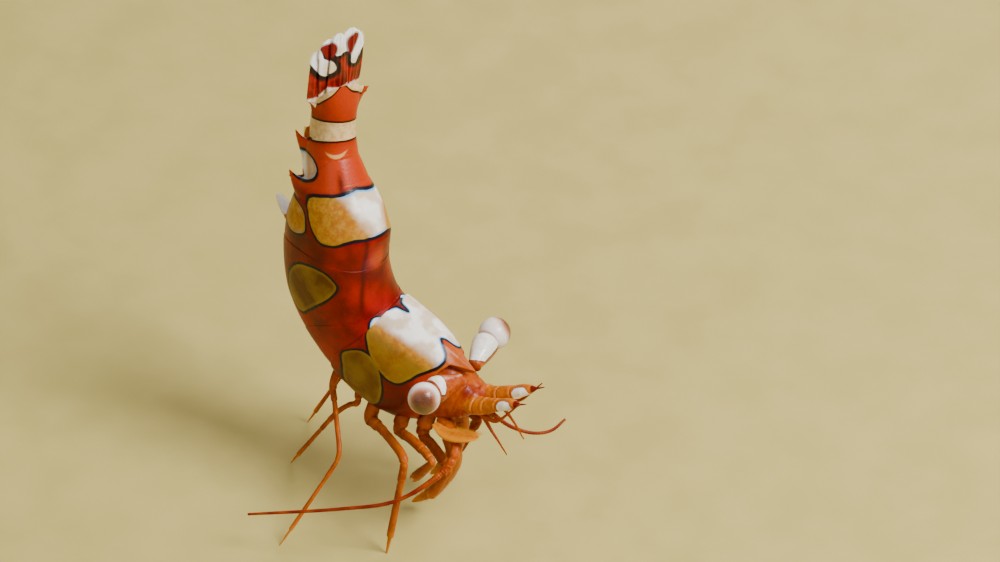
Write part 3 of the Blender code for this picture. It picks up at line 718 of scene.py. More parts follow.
def add_head():
    """Rounded rings through the head's ovals.

    A crease parts the lobes above and below, and two shallow joint lines run across.
    """
    ovals = smooth_path(HEAD_OVALS, 90)
    angle = turns(96)
    ahead, middle, high, wide = (column[:, None] for column in ovals.T)
    lobes = 1.0 - 0.10 * bump(np.sin(angle), 0.0, 0.20) * ramp(ahead, 3.9, 0.5)
    joints = 1.0 - 0.04 * sum(bump(ahead + 0.12 * np.cos(angle), at, 0.035) for at in (4.25, 4.62))
    ripple = 1.0 + 0.010 * np.sin(5 * angle + 3.0 * ahead) * np.sin(4.0 * ahead)
    scale = lobes * joints * ripple
    skin = bent(-ahead, wide * scale * np.sin(angle), middle + high * scale * np.cos(angle))
    # Painted shade: the head darkens towards its underside.
    under = ramp(-np.cos(angle))
    cloud = bump(ahead, 4.35, 0.25) * bump(np.sin(angle), -0.5, 0.3)
    add_soft("head_skin", skin, ["head"], dark=0.14 + 0.2 * under + 0.6 * cloud)


add_head()


# ------------------------------------------------------------------ eyes
# Each eye is a round cornea of many small facets on a stout stalk. The stalk is white and
# opaque above, red-brown below, and a dark crease parts it from the cornea.
EYE_FORWARD, EYE_LEFT, EYE_UP = 3.44, 2.5, 1.76
CORNEA_RADIUS = 0.66
CORNEA_INSET = 0.985  # keeps the ball just inside the solid one
CORNEA_AXIS = (0.30, 0.80, 0.52)  # forward, outward and up to the middle of its dark disc
EYESTALK_ROOT = (3.86, 0.50, 1.70)
EYESTALK_NECK = (3.46, 1.96, 1.76)
EYESTALK_WIDTHS = (0.28, 0.30, 0.34, 0.39, 0.44, 0.48, 0.51, 0.54, 0.54, 0.44)
SIDES = {"l": 1.0, "r": -1.0}


def head_points(side, path):
    """World points of a path given as (forward, outward, up) in the carapace's own frame."""
    path = np.asarray(path, float)
    return bent(-path[..., 0], side * path[..., 1], path[..., 2])


def head_direction(side, way):
    """World direction of one given as (forward, outward, up) in the carapace's own frame."""
    return head_points(side, way) - head_points(side, (0.0, 0.0, 0.0))


def unit(vectors):
    """Vectors, one to a row, brought to length 1."""
    return vectors / np.linalg.norm(vectors, axis=-1, keepdims=True)


def spread_evenly(share, values):
    """Values given at even steps from 0 to 1, read at each share."""
    return np.interp(share, np.linspace(0.0, 1.0, len(values)), values)


def tube_grid(path, radii, around=20, flatten=1.0, first_side=None):
    """Rings of the given radii carried along a path, (rows, around, 3).

    Each ring's frame is the one before turned as little as possible. flatten squashes the
    ring along its second axis. The first axis starts level, or along first_side.
    """
    tangents = unit(np.gradient(path, axis=0))
    side = np.cross(tangents[0], (0.0, 0.0, 1.0)) if first_side is None else np.array(first_side)
    turn = turns(around)[:, None]
    rings = []
    for point, tangent, radius in zip(path, tangents, radii):
        side = unit(side - tangent * side.dot(tangent))
        other = np.cross(tangent, side)
        rings.append(point + radius * (np.cos(turn) * side + flatten * np.sin(turn) * other))
    return np.array(rings)


def eye_finish():
    """Pearly cornea: white rim, brown-pink towards its pole, painted olive shade on its lower side, finely faceted.
    """
    eye = Finish("cornea", {
        "Specular IOR Level": 0.35, "Coat Weight": 0.30, "Coat Roughness": 0.08, "IOR": 1.45,
        "Subsurface Weight": 0.08, "Subsurface Radius": (1.0, 0.6, 0.4), "Subsurface Scale": 0.2 * MM,
    })
    place = eye.place()
    clouds = eye.noise(place, 0.3, 2.0)
    facets = eye.cells(place, 0.036)
    pole = eye.read("pole") + (clouds - 0.5) * 0.10
    # The under layer is painted shade on the cornea's lower side.
    colour = eye.layers(
        (0.86, 0.80, 0.78),
        (pole.step(0.30, 0.74), (0.42, 0.14, 0.07)),
        (pole.step(0.62, 0.90), (0.09, 0.014, 0.002)),
        (eye.read("under") * pole.step(0.25, 0.70) * 0.85, (0.12, 0.06, 0.006)),
        (facets.step(0.25, 0.6) * 0.12, (0.42, 0.28, 0.18)),
    )
    relief = eye.relief(facets, 0.006)
    return eye.finish(Base_Color=colour, Roughness=0.22 + clouds * 0.1, Normal=relief)


def stalk_finish():
    """Eyestalk: opaque white cap with a thin dark edge, over mottled red-brown."""
    stalk = Finish("eyestalk", {
        "Coat Weight": 0.4, "Coat Roughness": 0.12, "Subsurface Weight": 0.15,
        "Subsurface Radius": (1.0, 0.5, 0.3), "Subsurface Scale": 0.2 * MM,
    })
    fine = stalk.noise(stalk.place(), 0.14, 3.0, 0.6)
    white = stalk.read("white") + (fine - 0.5) * 0.10
    colour = stalk.layers(
        (0.28, 0.028, 0.0004),
        (fine.step(0.35, 0.65), (0.44, 0.080, 0.0005)),
        (white.step(-0.16, -0.07), (0.030, 0.015, 0.006)),
        (white.step(-0.03, 0.03), stalk.mix(fine.step(0.3, 0.7), (0.74, 0.71, 0.64), (0.92, 0.90, 0.87))),
    )
    relief = stalk.relief(fine, 0.010)
    return stalk.finish(Base_Color=colour, Roughness=0.26 + fine * 0.2, Normal=relief)


cornea_finish = eye_finish()
eyestalk_finish = stalk_finish()


def add_eye(suffix, side, cap_root):
    """A stalk that widens outwards like a club, and a cornea set on it past a crease.

    The white cap starts at the share cap_root of the stalk.
    """
    root, neck = np.array(EYESTALK_ROOT), np.array(EYESTALK_NECK)
    share = np.linspace(0.0, 1.0, 56)[:, None]
    path = head_points(side, root + (neck - root) * share)
    widths = spread_evenly(share, EYESTALK_WIDTHS)
    stalk = tube_grid(path, widths, 56)
    around = (stalk - path[:, None]) / widths[:, None]
    # The white cap lies on the stalk's upper side and narrows to a point near its root.
    cap = 0.05 + around @ (0.75 * LINE_UP[0] - 0.5 * head_direction(side, (1.0, 0.0, 0.0)))
    cap = cap - 1.2 * ramp(share, cap_root, -0.22) - 1.5 * ramp(share, 0.955, 0.03)
    add_surface(f"eyestalk_{suffix}_shell", stalk, eyestalk_finish, {"white": cap},
                [f"eyestalk_{suffix}"])
    turn = turns(72)
    polar = np.linspace(math.radians(138.0), 0.04, 52)[:, None]
    radius = CORNEA_RADIUS * CORNEA_INSET * np.sin(polar)
    outward = EYE_LEFT + CORNEA_RADIUS * CORNEA_INSET * np.cos(polar)
    ball = bent(radius * np.cos(turn) - EYE_FORWARD, side * outward, EYE_UP + radius * np.sin(turn))
    centre = head_points(side, (EYE_FORWARD, EYE_LEFT, EYE_UP))
    normals = (ball - centre) / CORNEA_RADIUS
    pole = normals @ head_direction(side, CORNEA_AXIS)
    # How far down the cornea a point is, for its painted shade.
    under = ramp(normals[..., 2], 0.30, -0.5)
    add_surface(f"cornea_{suffix}_ball", ball, cornea_finish, {"pole": pole, "under": under},
                [f"cornea_{suffix}"])


add_eye("l", 1.0, 0.22)
add_eye("r", -1.0, 0.86)


# ------------------------------------------------------------------ feelers
# Each antennule has three stout joints and ends in a short thick flagellum and a thin one.
# Outside it lie the leaf-shaped antennal scale and the long, ringed antenna. All are thin
# orange shell, jointed into the head by soft skin.
ANTENNULE_PATH = ((4.3, 0.36, 0.62), (5.1, 0.42, 1.15), (5.6, 0.48, 1.75), (6.1, 0.54, 2.35), (6.8, 0.66, 3.15))
ANTENNULE_WIDTHS = (0.46, 0.46, 0.44, 0.40, 0.36, 0.31, 0.28, 0.29, 0.22, 0.05, 0.02)
# The thin branches of each antennule: one beside the thick flagellum, one bent down.
FLAGELLUM_PATHS = (
    ((5.5, 0.62, 1.0), (6.07, 0.80, 1.44), (6.4, 0.80, 2.4), (6.6, 0.80, 3.1)),
    ((5.3, 0.50, 0.9), (5.88, 0.60, 0.62), (6.4, 0.62, 0.35), (7.0, 0.60, -0.03)),
)
SCALE_PATH = ((3.9, 1.15, -0.6), (4.4, 1.30, -0.45), (4.9, 1.36, -0.2), (5.4, 1.34, 0.15), (5.8, 1.26, 0.45))
SCALE_WIDTHS = (0.16, 0.24, 0.36, 0.43, 0.45, 0.44, 0.40, 0.32, 0.14)
ANTENNA_PATHS = {
    "r": ((2.6, -0.7, 5.3), (3.3, -1.0, 5.1), (3.9, -1.6, 4.9), (3.8, -2.4, 4.2),
          (2.6, -3.9, 3.2), (0.6, -5.0, 2.6), (-2.8, -6.5, 1.8)),
    "l": ((2.6, 0.7, 5.3), (3.3, 1.0, 5.1), (3.9, 1.1, 4.8), (4.5, 1.4, 4.3),
          (5.2, 1.9, 3.95), (5.7, 2.5, 3.9), (5.9, 3.2, 4.1)),
}
ANTENNA_WIDTHS = (0.26, 0.25, 0.19, 0.12, 0.085, 0.08, 0.075, 0.07, 0.068, 0.062, 0.05)
RING_PITCH = 0.11  # of the rings along a flagellum
HAIR_SIDE = (0.31, 0.52, 0.80)  # a direction that no hair takes


def along_path(path):
    """Running length of a path, in millimetres and as a share of the whole."""
    length = np.concatenate([[0.0], np.cumsum(np.linalg.norm(np.diff(path, axis=0), axis=1))])
    return length, length / length[-1]


def hair_tips(roots, spine, tangents, out, along):
    """Ends of hairs that reach `out` from a limb's spine and `along` it, in millimetres."""
    return roots + unit(roots - spine) * out + unit(tangents) * along


def add_hairs(name, roots, tips, width, material, numbers):
    """Fine hairs joined in one piece: each a three-sided needle from a root to a tip.

    `numbers` maps an attribute's name to one value, or to one for each hair.
    """
    lengthwise = unit(tips - roots)
    side = unit(np.cross(lengthwise, HAIR_SIDE))
    other = np.cross(lengthwise, side)
    corners = [roots + width * (math.cos(turn) * side + math.sin(turn) * other) for turn in (0.0, 2.1, 4.2)]
    points = np.stack([*corners, tips], 1).reshape(-1, 3)
    base = 4 * np.arange(len(roots))[:, None]
    faces = np.concatenate([base + face for face in ((0, 1, 3), (1, 2, 3), (2, 0, 3), (2, 1, 0))], 0)
    each = {key: np.repeat(np.broadcast_to(value, len(roots)), 4) for key, value in numbers.items()}
    add_piece(name, points, faces.tolist(), material, each, [])


def add_antennule(suffix, side):
    """Three stout joints, then the thick flagellum: a white patch and a wine-red point."""
    path = smooth_path(head_points(side, ANTENNULE_PATH), 170)
    share = along_path(path)[1]
    widths = spread_evenly(share, ANTENNULE_WIDTHS)
    for joint in (0.22, 0.38, 0.56):
        widths = widths * (1.0 + 0.05 * bump(share, joint - 0.03, 0.02))
        widths = widths * (1.0 - 0.13 * bump(share, joint, 0.008))
    white = ramp(1.0 - np.abs((share - 0.69) / 0.14) ** 3)
    dark = ramp(share, 0.82, 0.02)
    grid = tube_grid(path, widths, 32, 0.85)
    white = ramp(white[:, None] * (0.72 + 0.4 * np.cos(turns(32) - 1.0)))
    add_soft(f"antennule_{suffix}_joints", grid, [f"antennule_{suffix}"],
             dark=dark[:, None], clear=0.3, white=white)
    for number, places in enumerate(FLAGELLUM_PATHS):
        thin = smooth_path(head_points(side, places), 90)
        length, share = along_path(thin)
        widths = np.interp(share, (0.0, 0.3, 1.0), (0.12, 0.07, 0.025))
        widths = widths * (1.0 + 0.10 * np.sin(2.0 * math.pi * length / RING_PITCH))
        add_soft(f"antennule_{suffix}_flagellum_{number + 1}", tube_grid(thin, widths, 12), [],
                 dark=0.45, clear=0.1)


def add_antennal_scale(suffix, side):
    """A thin leaf with a stiff outer edge ending in a tooth, and a fringe along the inner."""
    path = smooth_path(head_points(side, SCALE_PATH), 70)
    aside = np.cos(turns(40))
    leaf = tube_grid(path, spread_evenly(along_path(path)[1], SCALE_WIDTHS), 40, 0.20)
    leaf = path[:, None] + (leaf - path[:, None]) * (1.0 + 0.10 * np.cos(9.0 * aside))[:, None]
    add_soft(f"antennal_scale_{suffix}_leaf", leaf, [f"antennal_scale_{suffix}"],
             clear=0.35 + 0.5 * np.abs(aside))
    # The fringe starts from the rows between the leaf's base and its tip, on the column
    # that faces the animal's middle.
    rows = slice(18, 68)
    inner = int(np.argmin(((leaf[35] - head_points(side, (4.9, 0.0, 0.2))) ** 2).sum(-1)))
    edge, spine = leaf[rows, inner], path[rows]
    lean = np.arctan(np.linspace(0.5, 1.4, len(edge)))[:, None]
    tips = hair_tips(edge, spine, np.gradient(spine, axis=0), 0.30 * np.cos(lean), 0.30 * np.sin(lean))
    add_hairs(f"antennal_scale_{suffix}_fringe", edge, tips, 0.010, orange_finish,
              {"clear": 0.9})


def add_antenna(suffix):
    """A short stout root and a long whip of fine rings, thinning to its tip."""
    path = smooth_path(np.array(ANTENNA_PATHS[suffix]) + SHIFT, 560)
    length, share = along_path(path)
    widths = spread_evenly(share, ANTENNA_WIDTHS)
    rings = 1.0 + 0.07 * np.sin(2.0 * math.pi * length / RING_PITCH) * ramp(share, 0.2, 0.05)
    for joint in (0.10, 0.19, 0.26):
        rings = rings - 0.20 * bump(share, joint, 0.007)
    banded = 0.62 + 0.12 * np.sin(2.0 * math.pi * length / (RING_PITCH * 9.0))
    dark = ramp(share, 0.22, 0.15) * banded
    add_soft(f"antenna_{suffix}_whip", tube_grid(path, widths * rings, 14), [f"antenna_{suffix}"],
             dark=dark[:, None], clear=0.05)


for suffix, side in SIDES.items():
    add_antennule(suffix, side)
    add_antennal_scale(suffix, side)
    add_antenna(suffix)


# ------------------------------------------------------------------ legs
# The third maxillipeds and the ten legs are jointed tubes of thin shell: short stout joints
# at the hip, then the long merus, carpus and propodus, and a small clawed tip. Soft skin
# parts one joint from the next. The first two pairs carry pincers and are held up.
WALKING_LEGS = {
    "pereopod_3_r": ((-0.35, -1.35, 4.35), (2.55, -3.2, 4.8), (1.9, -3.6, 0.0)),
    "pereopod_4_r": ((-1.4, -0.8, 4.35), (-2.6, -0.75, 3.1), (-4.5, -1.0, 0.0)),
    "pereopod_5_r": ((-2.3, -1.2, 4.95), (-0.6, -3.2, 3.5), (-1.9, -5.6, 0.0)),
    "pereopod_3_l": ((0.3, 1.2, 4.3), (0.5, 3.3, 4.6), (0.2, 5.3, 0.0)),
    "pereopod_4_l": ((-0.8, 1.2, 4.3), (-0.7, 3.0, 4.6), (-1.7, 4.6, 0.0)),
    "pereopod_5_l": ((-1.8, 1.1, 4.5), (-3.9, 2.0, 3.0), (-5.4, 1.5, 0.0)),
}
HELD_LEGS = {
    "pereopod_1_r": ((1.9, -1.0, 4.3), (3.5, -1.55, 3.6), (2.4, -1.35, 1.5)),
    "pereopod_2_r": ((0.95, -1.25, 4.25), (3.35, -2.4, 4.5), (2.0, -2.1, 2.7)),
    "pereopod_1_l": ((1.9, 1.1, 4.4), (2.9, 1.5, 3.9), (1.9, 1.2, 1.8)),
    "pereopod_2_l": ((1.1, 1.2, 4.3), (1.9, 2.1, 4.3), (1.2, 1.6, 2.3)),
}
MAXILLIPED_PATHS = {
    "r": ((2.4, -0.5, 4.9), (3.0, -0.65, 4.3), (3.2, -0.7, 3.5),
          (2.9, -0.65, 2.6), (2.2, -0.7, 1.4), (1.25, -0.75, 0.45)),
    "l": ((2.4, 0.5, 4.9), (2.7, 0.6, 4.3), (2.6, 0.6, 3.5),
          (2.3, 0.55, 2.6), (1.8, 0.5, 1.7), (1.3, 0.45, 1.1)),
}
# Ends of the joints as shares of the leg, and the width at the middle of each joint.
JOINTS_AT = (0.0, 0.14, 0.20, 0.27, 0.50, 0.60, 0.91, 1.0)
JOINT_WIDTHS = (0.23, 0.19, 0.155, 0.150, 0.135, 0.118, 0.070)
# How stout each pair of legs is, from the first pair to the fifth.
STOUTNESS = {"1": 1.55, "2": 1.40, "3": 1.30, "4": 0.74, "5": 0.74}
GOLDEN = (math.sqrt(5.0) - 1.0) / 2.0  # spreads numbers evenly without a pattern
HAIR_CLEARANCE = 0.02  # between a hair's tip and the floor


def leg_path(hip, knee, foot):
    """From under the shell through the hip to the foot, with a rounded knee between."""
    hip, knee, foot = (np.asarray(p, float) for p in (hip, knee, foot))
    arch = np.array([0.0, 0.0, 0.12])
    upper = [hip + (knee - hip) * k + arch * math.sin(k * math.pi) for k in (0.0, 0.3, 0.6, 0.86)]
    bend = [knee * 0.94 + (hip + foot) * 0.03]
    lower = [knee + (foot - knee) * k for k in (0.14, 0.35, 0.6, 0.82, 1.0)]
    side = np.sign(hip[1])
    inner = [hip + (0.05, -0.45 * side, 1.0), hip + (0.0, -0.12 * side, 0.45)]
    return smooth_path(inner + upper + bend + lower, 300) + SHIFT


def joint_profile(share, joints, widths):
    """Width along a jointed limb: each joint swells towards its far end, then pinches in."""
    profile = np.zeros_like(share)
    for start, end, width in zip(joints[:-1], joints[1:], widths):
        inside = (share >= start) & (share <= end)
        shape = 0.95 + 0.07 * ramp(share, start, end - start)
        pinch_start = bump(share, start, 0.007) * (start > 0.0)
        pinch_end = bump(share, end, 0.005) * (end < 1.0)
        profile = np.where(inside, width * shape * (1.0 - 0.13 * np.maximum(pinch_start, pinch_end)), profile)
    return profile


def add_limb_hairs(name, grid, path, first, last, count, length):
    """Stiff hairs on a limb between two shares of its length, leaning towards its tip."""
    rows, columns, _ = grid.shape
    number = np.arange(count)
    at = first + (last - first) * ((number + 0.5) / count)
    row = np.clip((at * (rows - 1)).astype(int), 1, rows - 2)
    column = (columns * ((number * GOLDEN) % 1.0)).astype(int)
    roots = grid[row, column]
    reach = length * (0.6 + 0.4 * ((number * GOLDEN * 7.0) % 1.0))[:, None]
    tips = hair_tips(roots, path[row], path[row + 1] - path[row - 1], 0.7 * reach, 0.75 * reach)
    tips[:, 2] = np.maximum(tips[:, 2], HAIR_CLEARANCE)
    sunk = roots - unit(roots - path[row]) * 0.01
    add_hairs(name, sunk, tips, 0.009, orange_finish, {"clear": 0.55})


def add_leg(name, hip, knee, foot):
    """One leg: a jointed tube that stands on its claw or is held up and ends in pincers."""
    held = name in HELD_LEGS
    path = leg_path(hip, knee, foot)
    share = along_path(path)[1]
    pair = name.split("_")[1]
    widths = joint_profile(share, JOINTS_AT, JOINT_WIDTHS) * STOUTNESS[pair]
    last = JOINTS_AT[-2]
    if held:
        # The palm swells a little and stops where the fingers begin.
        palm = share < last
        path, share, widths = path[palm], share[palm], widths[palm]
        widths = widths * (1.0 + 0.25 * ramp(share, 0.62, 0.2))
    else:
        tip = ramp(share, last, 1.0 - last)
        widths = np.where(share > last, widths * (1.0 - 0.62 * tip**1.5), widths)
    grid = tube_grid(path, widths, 22, 0.86)
    if not held:
        grid[..., 2] = np.maximum(grid[..., 2], 0.0)
    share = share[:, None]
    to_joint = np.abs(share - np.array(JOINTS_AT[1:-1])).min(1, keepdims=True)
    add_soft(f"{name}_joints", grid, [name],
             dark=ramp(0.40 + 0.30 * np.cos(turns(22)) - 0.5 * ramp(share, 0.75)),
             clear=0.15 + 0.5 * ramp(share, 0.82, 0.18) + 0.1 * (to_joint < 0.006))
    add_limb_hairs(f"{name}_hairs", grid, path, 0.50, 0.97, 26, 0.16)
    if held:
        add_pincer(name, path, widths[-1])


def add_pincer(name, path, width):
    """Two curved fingers that close on each other beyond the palm."""
    heading = unit(path[-1] - path[-6])
    aside = unit(np.cross(heading, (0.0, 1.0, 0.15)))
    along = np.linspace(0.0, 1.0, 40)[:, None]
    for finger, hand in (("fixed", 1.0), ("moving", -1.0)):
        gap = hand * width * (0.48 + 0.42 * np.sin(math.pi * along * 0.8) - 0.50 * along)
        line = path[-1] - heading * 0.04 + heading * along * 0.46 + aside * gap
        shape = width * 0.50 * (1.0 - along[:, 0] ** 1.8 * 0.85)
        add_soft(f"{name}_{finger}_finger", tube_grid(line, shape, 16, 0.8), [],
                 dark=0.2, clear=0.6 * along)


def add_maxilliped(suffix):
    """The stout leg-like mouth limb: three long joints with combs of hair on the last."""
    name = f"maxilliped_{suffix}"
    path = smooth_path(np.array(MAXILLIPED_PATHS[suffix]) + SHIFT, 240)
    share = along_path(path)[1]
    widths = joint_profile(share, (0.0, 0.12, 0.56, 0.80, 1.0), (0.33, 0.37, 0.35, 0.27))
    widths = widths * (1.0 - 0.72 * ramp(share, 0.84, 0.16) ** 1.4)
    grid = tube_grid(path, widths, 28, 0.75)
    add_soft(f"{name}_joints", grid, [name], dark=ramp(0.10 + 0.30 * np.cos(turns(28) + 0.6)),
             clear=0.30 + 0.5 * ramp(share, 0.80, 0.2)[:, None])
    add_limb_hairs(f"{name}_combs", grid, path, 0.60, 0.98, 90, 0.24)


for name, places in {**WALKING_LEGS, **HELD_LEGS}.items():
    add_leg(name, *places)
for suffix in SIDES:
    add_maxilliped(suffix)


# ------------------------------------------------------------------ swimming paddles
# Under the first five somites hangs a pair of pleopods each: a short stalk and two thin
# fringed leaves, the outer the larger, folded back in the groove between the pleura.
# Where each pair starts along the body, how far out, how long, and its fall from the belly
# as a share of that length.
PLEOPODS = (
    (1.0, 0.47, 1.4, 0.18), (2.8, 0.50, 1.6, 0.25), (4.55, 0.50, 1.4, 1.30),
    (6.9, 0.34, 1.1, 0.18), (8.4, 0.32, 1.0, 0.18),
)
PLEOPOD_WIDTHS = (0.10, 0.17, 0.235, 0.24, 0.21, 0.09)
PLEOPOD_REACH = np.array((0.16, 0.22, 0.26, 0.27, 0.24, 0.14))  # of the solid leaf, as shares of its length
PLEOPOD_LEAVES = (("outer_leaf", -0.07, 1.0, 1.0), ("inner_leaf", 0.09, 0.84, 0.8))  # lift, length, width
PLEOPOD_COLUMNS = 30
PLEOPOD_HALF_THICKNESS = 0.25
PLEOPOD_CLEARANCE = 0.05


def belly_depth(s, spread):
    """How far below the centre line the underside is, at arc length s and `spread` aside."""
    angle = np.linspace(math.pi / 2, math.pi, 8)
    left, up = girth(np.full(8, s), angle)
    return -np.interp(-spread, -left, up)


def add_pleopod(index, suffix, side):
    """Two leaves, one behind the other, inside the space of the solid paddle."""
    s, spread, length, fall = PLEOPODS[index]
    spots = np.linspace(0.0, 1.0, len(PLEOPOD_REACH))
    stations = zip(s + length * spots, spread + length * PLEOPOD_REACH, fall * length * spots)
    depth = max(belly_depth(at, edge) - drop for at, edge, drop in stations)
    depth += PLEOPOD_HALF_THICKNESS + PLEOPOD_CLEARANCE
    share = np.linspace(0.0, 1.0, 44)
    # The third pair stands out behind the body: it is set wider, and ends white.
    out = fall > 1.0
    length = length * (0.90 if out else 1.0)
    hair = 0.06 if out else 0.17
    name = f"pleopod_{index + 1}_{suffix}"
    for leaf, lift, long, shrink in PLEOPOD_LEAVES:
        widths = length * spread_evenly(share, PLEOPOD_WIDTHS) * shrink
        path = bent(s + length * long * share, side * (spread + 0.22 * out), lift - depth - fall * length * share)
        grid = tube_grid(path, widths, PLEOPOD_COLUMNS, 0.05 / widths.max(), LINE_LEFT[0])
        add_soft(f"{name}_{leaf}", grid, [name] if leaf == "outer_leaf" else [], dark=0.15,
                 clear=0.25 + 0.7 * np.cos(turns(PLEOPOD_COLUMNS)) ** 2, white=out * ramp(share, 0.45, 0.12)[:, None])
        rows, tangents = slice(10, 43), np.gradient(path, axis=0)[10:43]
        roots = [grid[rows, column] for column in (0, PLEOPOD_COLUMNS // 2)]
        tips = [hair_tips(edge, path[rows], tangents, 0.4 * hair, hair) for edge in roots]
        add_hairs(f"{name}_{leaf}_fringe", np.vstack(roots), np.vstack(tips), 0.009, orange_finish,
                  {"clear": 0.9})


for suffix, side in SIDES.items():
    for index in range(len(PLEOPODS)):
        add_pleopod(index, suffix, side)
# ------------------------------------------------------------------ tail fan
# The telson, a tapering blade, lies on top of two pairs of uropods, the inner over the
# outer. They are thin, stiff, ribbed blades, hinged under the last somite's cream rim and
# fringed with hair. The fan is held shut, and its marks run across from blade to blade.
#
# Each blade: from and to along the body, left at its root and tip, up, and its half-widths
# at even steps.
BLADES = {
    "telson": ((11.30, 13.86), (-0.20, -0.27), 0.30, (0.50, 0.48, 0.43, 0.36, 0.28)),
    "uropod_inner_l": ((11.20, 13.90), (0.36, 0.47), 0.08, (0.40, 0.44, 0.45, 0.43, 0.36)),
    "uropod_inner_r": ((10.95, 13.60), (-0.42, -0.52), 0.08, (0.44, 0.50, 0.54, 0.54, 0.44)),
    "uropod_outer_l": ((11.30, 13.66), (0.72, 0.82), -0.14, (0.42, 0.44, 0.43, 0.39, 0.30)),
    "uropod_outer_r": ((10.92, 13.12), (-0.84, -0.86), -0.14, (0.44, 0.47, 0.47, 0.43, 0.32)),
}
BLADE_THICKNESS = 0.17
BLADE_COLUMNS = 72
NECK_SHARE = 0.36  # the neck's length as a share of the blade's
FRINGE_ROWS = slice(80, 104)
FRINGE_LENGTH = 0.10
# The marks on the shut fan laid flat, as outlines in (s, left).
FAN_WHITE = (
    [(13.30, -1.20), (14.5, -1.2), (14.5, 1.5), (13.3, 1.4), (12.98, 1.0), (12.49, 0.78), (12.40, 0.62),
     (12.50, 0.46), (12.80, 0.44), (12.93, 0.32), (12.92, 0.15), (12.84, -0.05), (12.82, -0.20),
     (12.95, -0.35), (13.20, -0.55), (13.25, -0.85), (13.27, -1.0)],
    [(13.30, -1.12), (12.85, -1.50), (12.45, -1.25), (12.03, -0.76), (12.21, -0.24), (12.48, -0.27),
     (12.70, -0.58), (12.80, -0.80), (13.12, -0.93)],
)
FAN_SPOTS = (
    [(13.28, -0.90), (13.38, -0.47), (13.21, -0.23), (12.91, -0.26), (12.70, -0.53), (12.92, -0.78)],
    [(13.66, 0.61), (13.56, 0.80), (13.27, 0.68), (12.84, 0.42), (12.99, 0.32), (13.42, 0.29)],
)
CREAM_EDGE_AT = [-1.4, -0.84, -0.59, -0.05, 0.65, 1.13]
CREAM_EDGE = [11.10, 11.21, 11.50, 11.46, 11.62, 11.70]


def tail_finish(name):
    """Red blades: pearl marks with dark-red spots in them and broad black lower edges."""
    blade = Finish(name, {
        "Coat Weight": 0.12, "Coat Roughness": 0.15, "IOR": 1.4, "Subsurface Weight": 0.15,
        "Subsurface Radius": (1.0, 0.3, 0.1), "Subsurface Scale": 0.2 * MM,
    })
    place = blade.place()
    broad = blade.noise(place, 0.45, 3.0)
    fine = blade.noise(place, 0.12, 3.0, 0.6)
    white = blade.read("white") + (broad - 0.5) * 0.07
    spot = blade.read("spot") + (broad - 0.5) * 0.05
    cream = blade.read("cream") + (fine - 0.5) * 0.08
    ribs = blade.read("rib")
    pearl = blade.mix(fine.step(0.3, 0.7), (0.80, 0.77, 0.74), (0.94, 0.92, 0.92))
    pearl = blade.mix(blade.read("tan") * 0.75, pearl, (0.56, 0.42, 0.16))
    sand = blade.mix(broad.step(0.35, 0.65), (0.60, 0.40, 0.22), (0.80, 0.72, 0.60))
    colour = blade.layers(
        (0.08, 0.0006, 0.0003),
        (broad.step(0.35, 0.65), (0.30, 0.0025, 0.0004)),
        (ribs.step(0.6, 0.95) * 0.30, (0.42, 0.020, 0.0006)),
        (blade.read("clear"), (0.62, 0.16, 0.003)),
        (white.step(0.24, 0.12), (0.012, 0.002, 0.002)),
        (white.step(0.015, -0.02), pearl),
        (spot.step(0.03, -0.02), (0.16, 0.0015, 0.001)),
        (spot.step(-0.02, 0.03) * spot.step(0.07, 0.03) * 0.7, (0.02, 0.003, 0.003)),
        (cream.step(0.05, -0.05), sand),
    )
    relief = blade.relief(ribs * 0.6 + fine * 0.4, 0.020)
    return blade.finish(Base_Color=colour, Roughness=0.34 + fine * 0.16, Normal=relief)


tail_blade_finish = tail_finish("tail_fan")


def fan_numbers(s, left, up):
    """What the fan's finish reads at a point: its place on the shut fan, laid flat.

    Blades that lie higher are slid outwards and down to where they cover those below.
    white and spot are distances to the marks, below 0 inside; cream to the root band; tan
    is how yellow the pearl is.
    """
    flat_s, flat_left = s - 0.5 * up, left + 0.67 * up
    tips, side_patch = (inside_distance(flat_s, flat_left, outline) for outline in FAN_WHITE)
    white = np.minimum(tips, np.where(side_patch > 0.0, side_patch * 0.75, side_patch))
    spot = np.minimum.reduce([inside_distance(flat_s, flat_left, outline) for outline in FAN_SPOTS])
    cream = flat_s - np.interp(flat_left, CREAM_EDGE_AT, CREAM_EDGE)
    tan = ramp(flat_s, 12.85, -0.4) * ramp(flat_left, -1.05, 0.5)
    middle = bump(flat_s, 13.0, 0.22) * bump(flat_left, 0.0, 0.22)
    return {"white": white, "spot": spot, "cream": cream, "tan": ramp(tan + 0.8 * middle)}


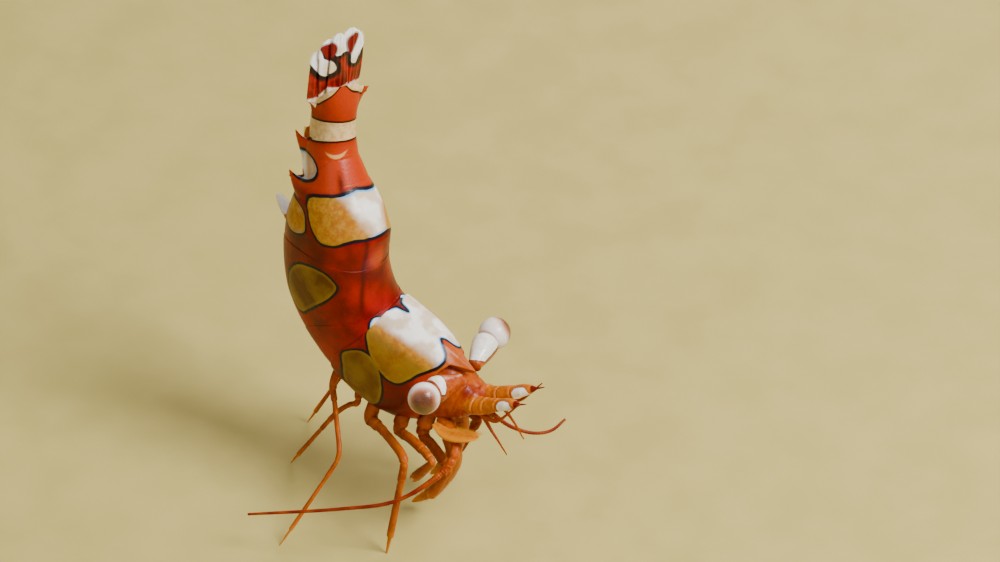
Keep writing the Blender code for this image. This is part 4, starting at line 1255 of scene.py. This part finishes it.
def add_blade(name, s_range, left_line, up, half_widths):
    """A ribbed leaf, a little arched across, with a rounded end and a fringe of hair.

    Before its root it narrows into a neck that runs inside the last somite.
    """
    share = np.concatenate([np.linspace(-NECK_SHARE, 0.0, 18, endpoint=False), np.linspace(0.0, 1.0, 90)])[:, None]
    neck = ramp(-share, 0.0, NECK_SHARE) ** 0.6
    turn = turns(BLADE_COLUMNS)
    s = s_range[0] + (s_range[1] - s_range[0]) * share
    wide = spread_evenly(ramp(share), half_widths) * (1.0 - 0.55 * neck)
    wide = wide * np.sqrt(1.0 - ramp(share, 0.80, 0.205) ** 2.4)
    left = (left_line[0] + (left_line[1] - left_line[0]) * share) * (1.0 - 0.6 * neck)
    aside = np.cos(turn) * np.ones_like(share)
    rib = 0.5 + 0.5 * np.cos(14.0 * aside)
    thick = BLADE_THICKNESS / 2 * (1.0 + 0.14 * (rib - 0.5)) * (1.0 - 0.4 * share)
    keel = 0.04 * bump(aside, 0.0, 0.12) * (np.sin(turn) > 0.0)
    across = left + wide * aside
    height = up - 0.05 * aside**2 + (thick + keel) * np.sin(turn)
    grid = bent(s, across, height)
    edge = ramp(np.abs(aside), 0.93, 0.07) * ramp(share, 0.2, 0.4)
    numbers = fan_numbers(np.broadcast_to(s, across.shape), across, np.full(across.shape, up))
    add_surface(f"{name}_blade", grid, tail_blade_finish, {**numbers, "rib": rib, "clear": 0.3 * edge},
                [name])
    sides = (0, BLADE_COLUMNS // 2)
    middle = grid[FRINGE_ROWS].mean(1)
    backward = np.gradient(middle, axis=0)
    lean = np.arctan(np.linspace(2.2, 0.9, len(middle)))[:, None]
    out, along = FRINGE_LENGTH * np.cos(lean), FRINGE_LENGTH * np.sin(lean)
    roots = [grid[FRINGE_ROWS, column] for column in sides]
    tips = [hair_tips(rim, middle, backward, out, along) for rim in roots]
    each = {key: np.concatenate([values[FRINGE_ROWS, column] for column in sides])
            for key, values in numbers.items()}
    add_hairs(f"{name}_fringe", np.vstack(roots), np.vstack(tips), 0.008, tail_blade_finish,
              {**each, "rib": 0.0, "clear": 0.8})


for name, shape in BLADES.items():
    add_blade(name, *shape)
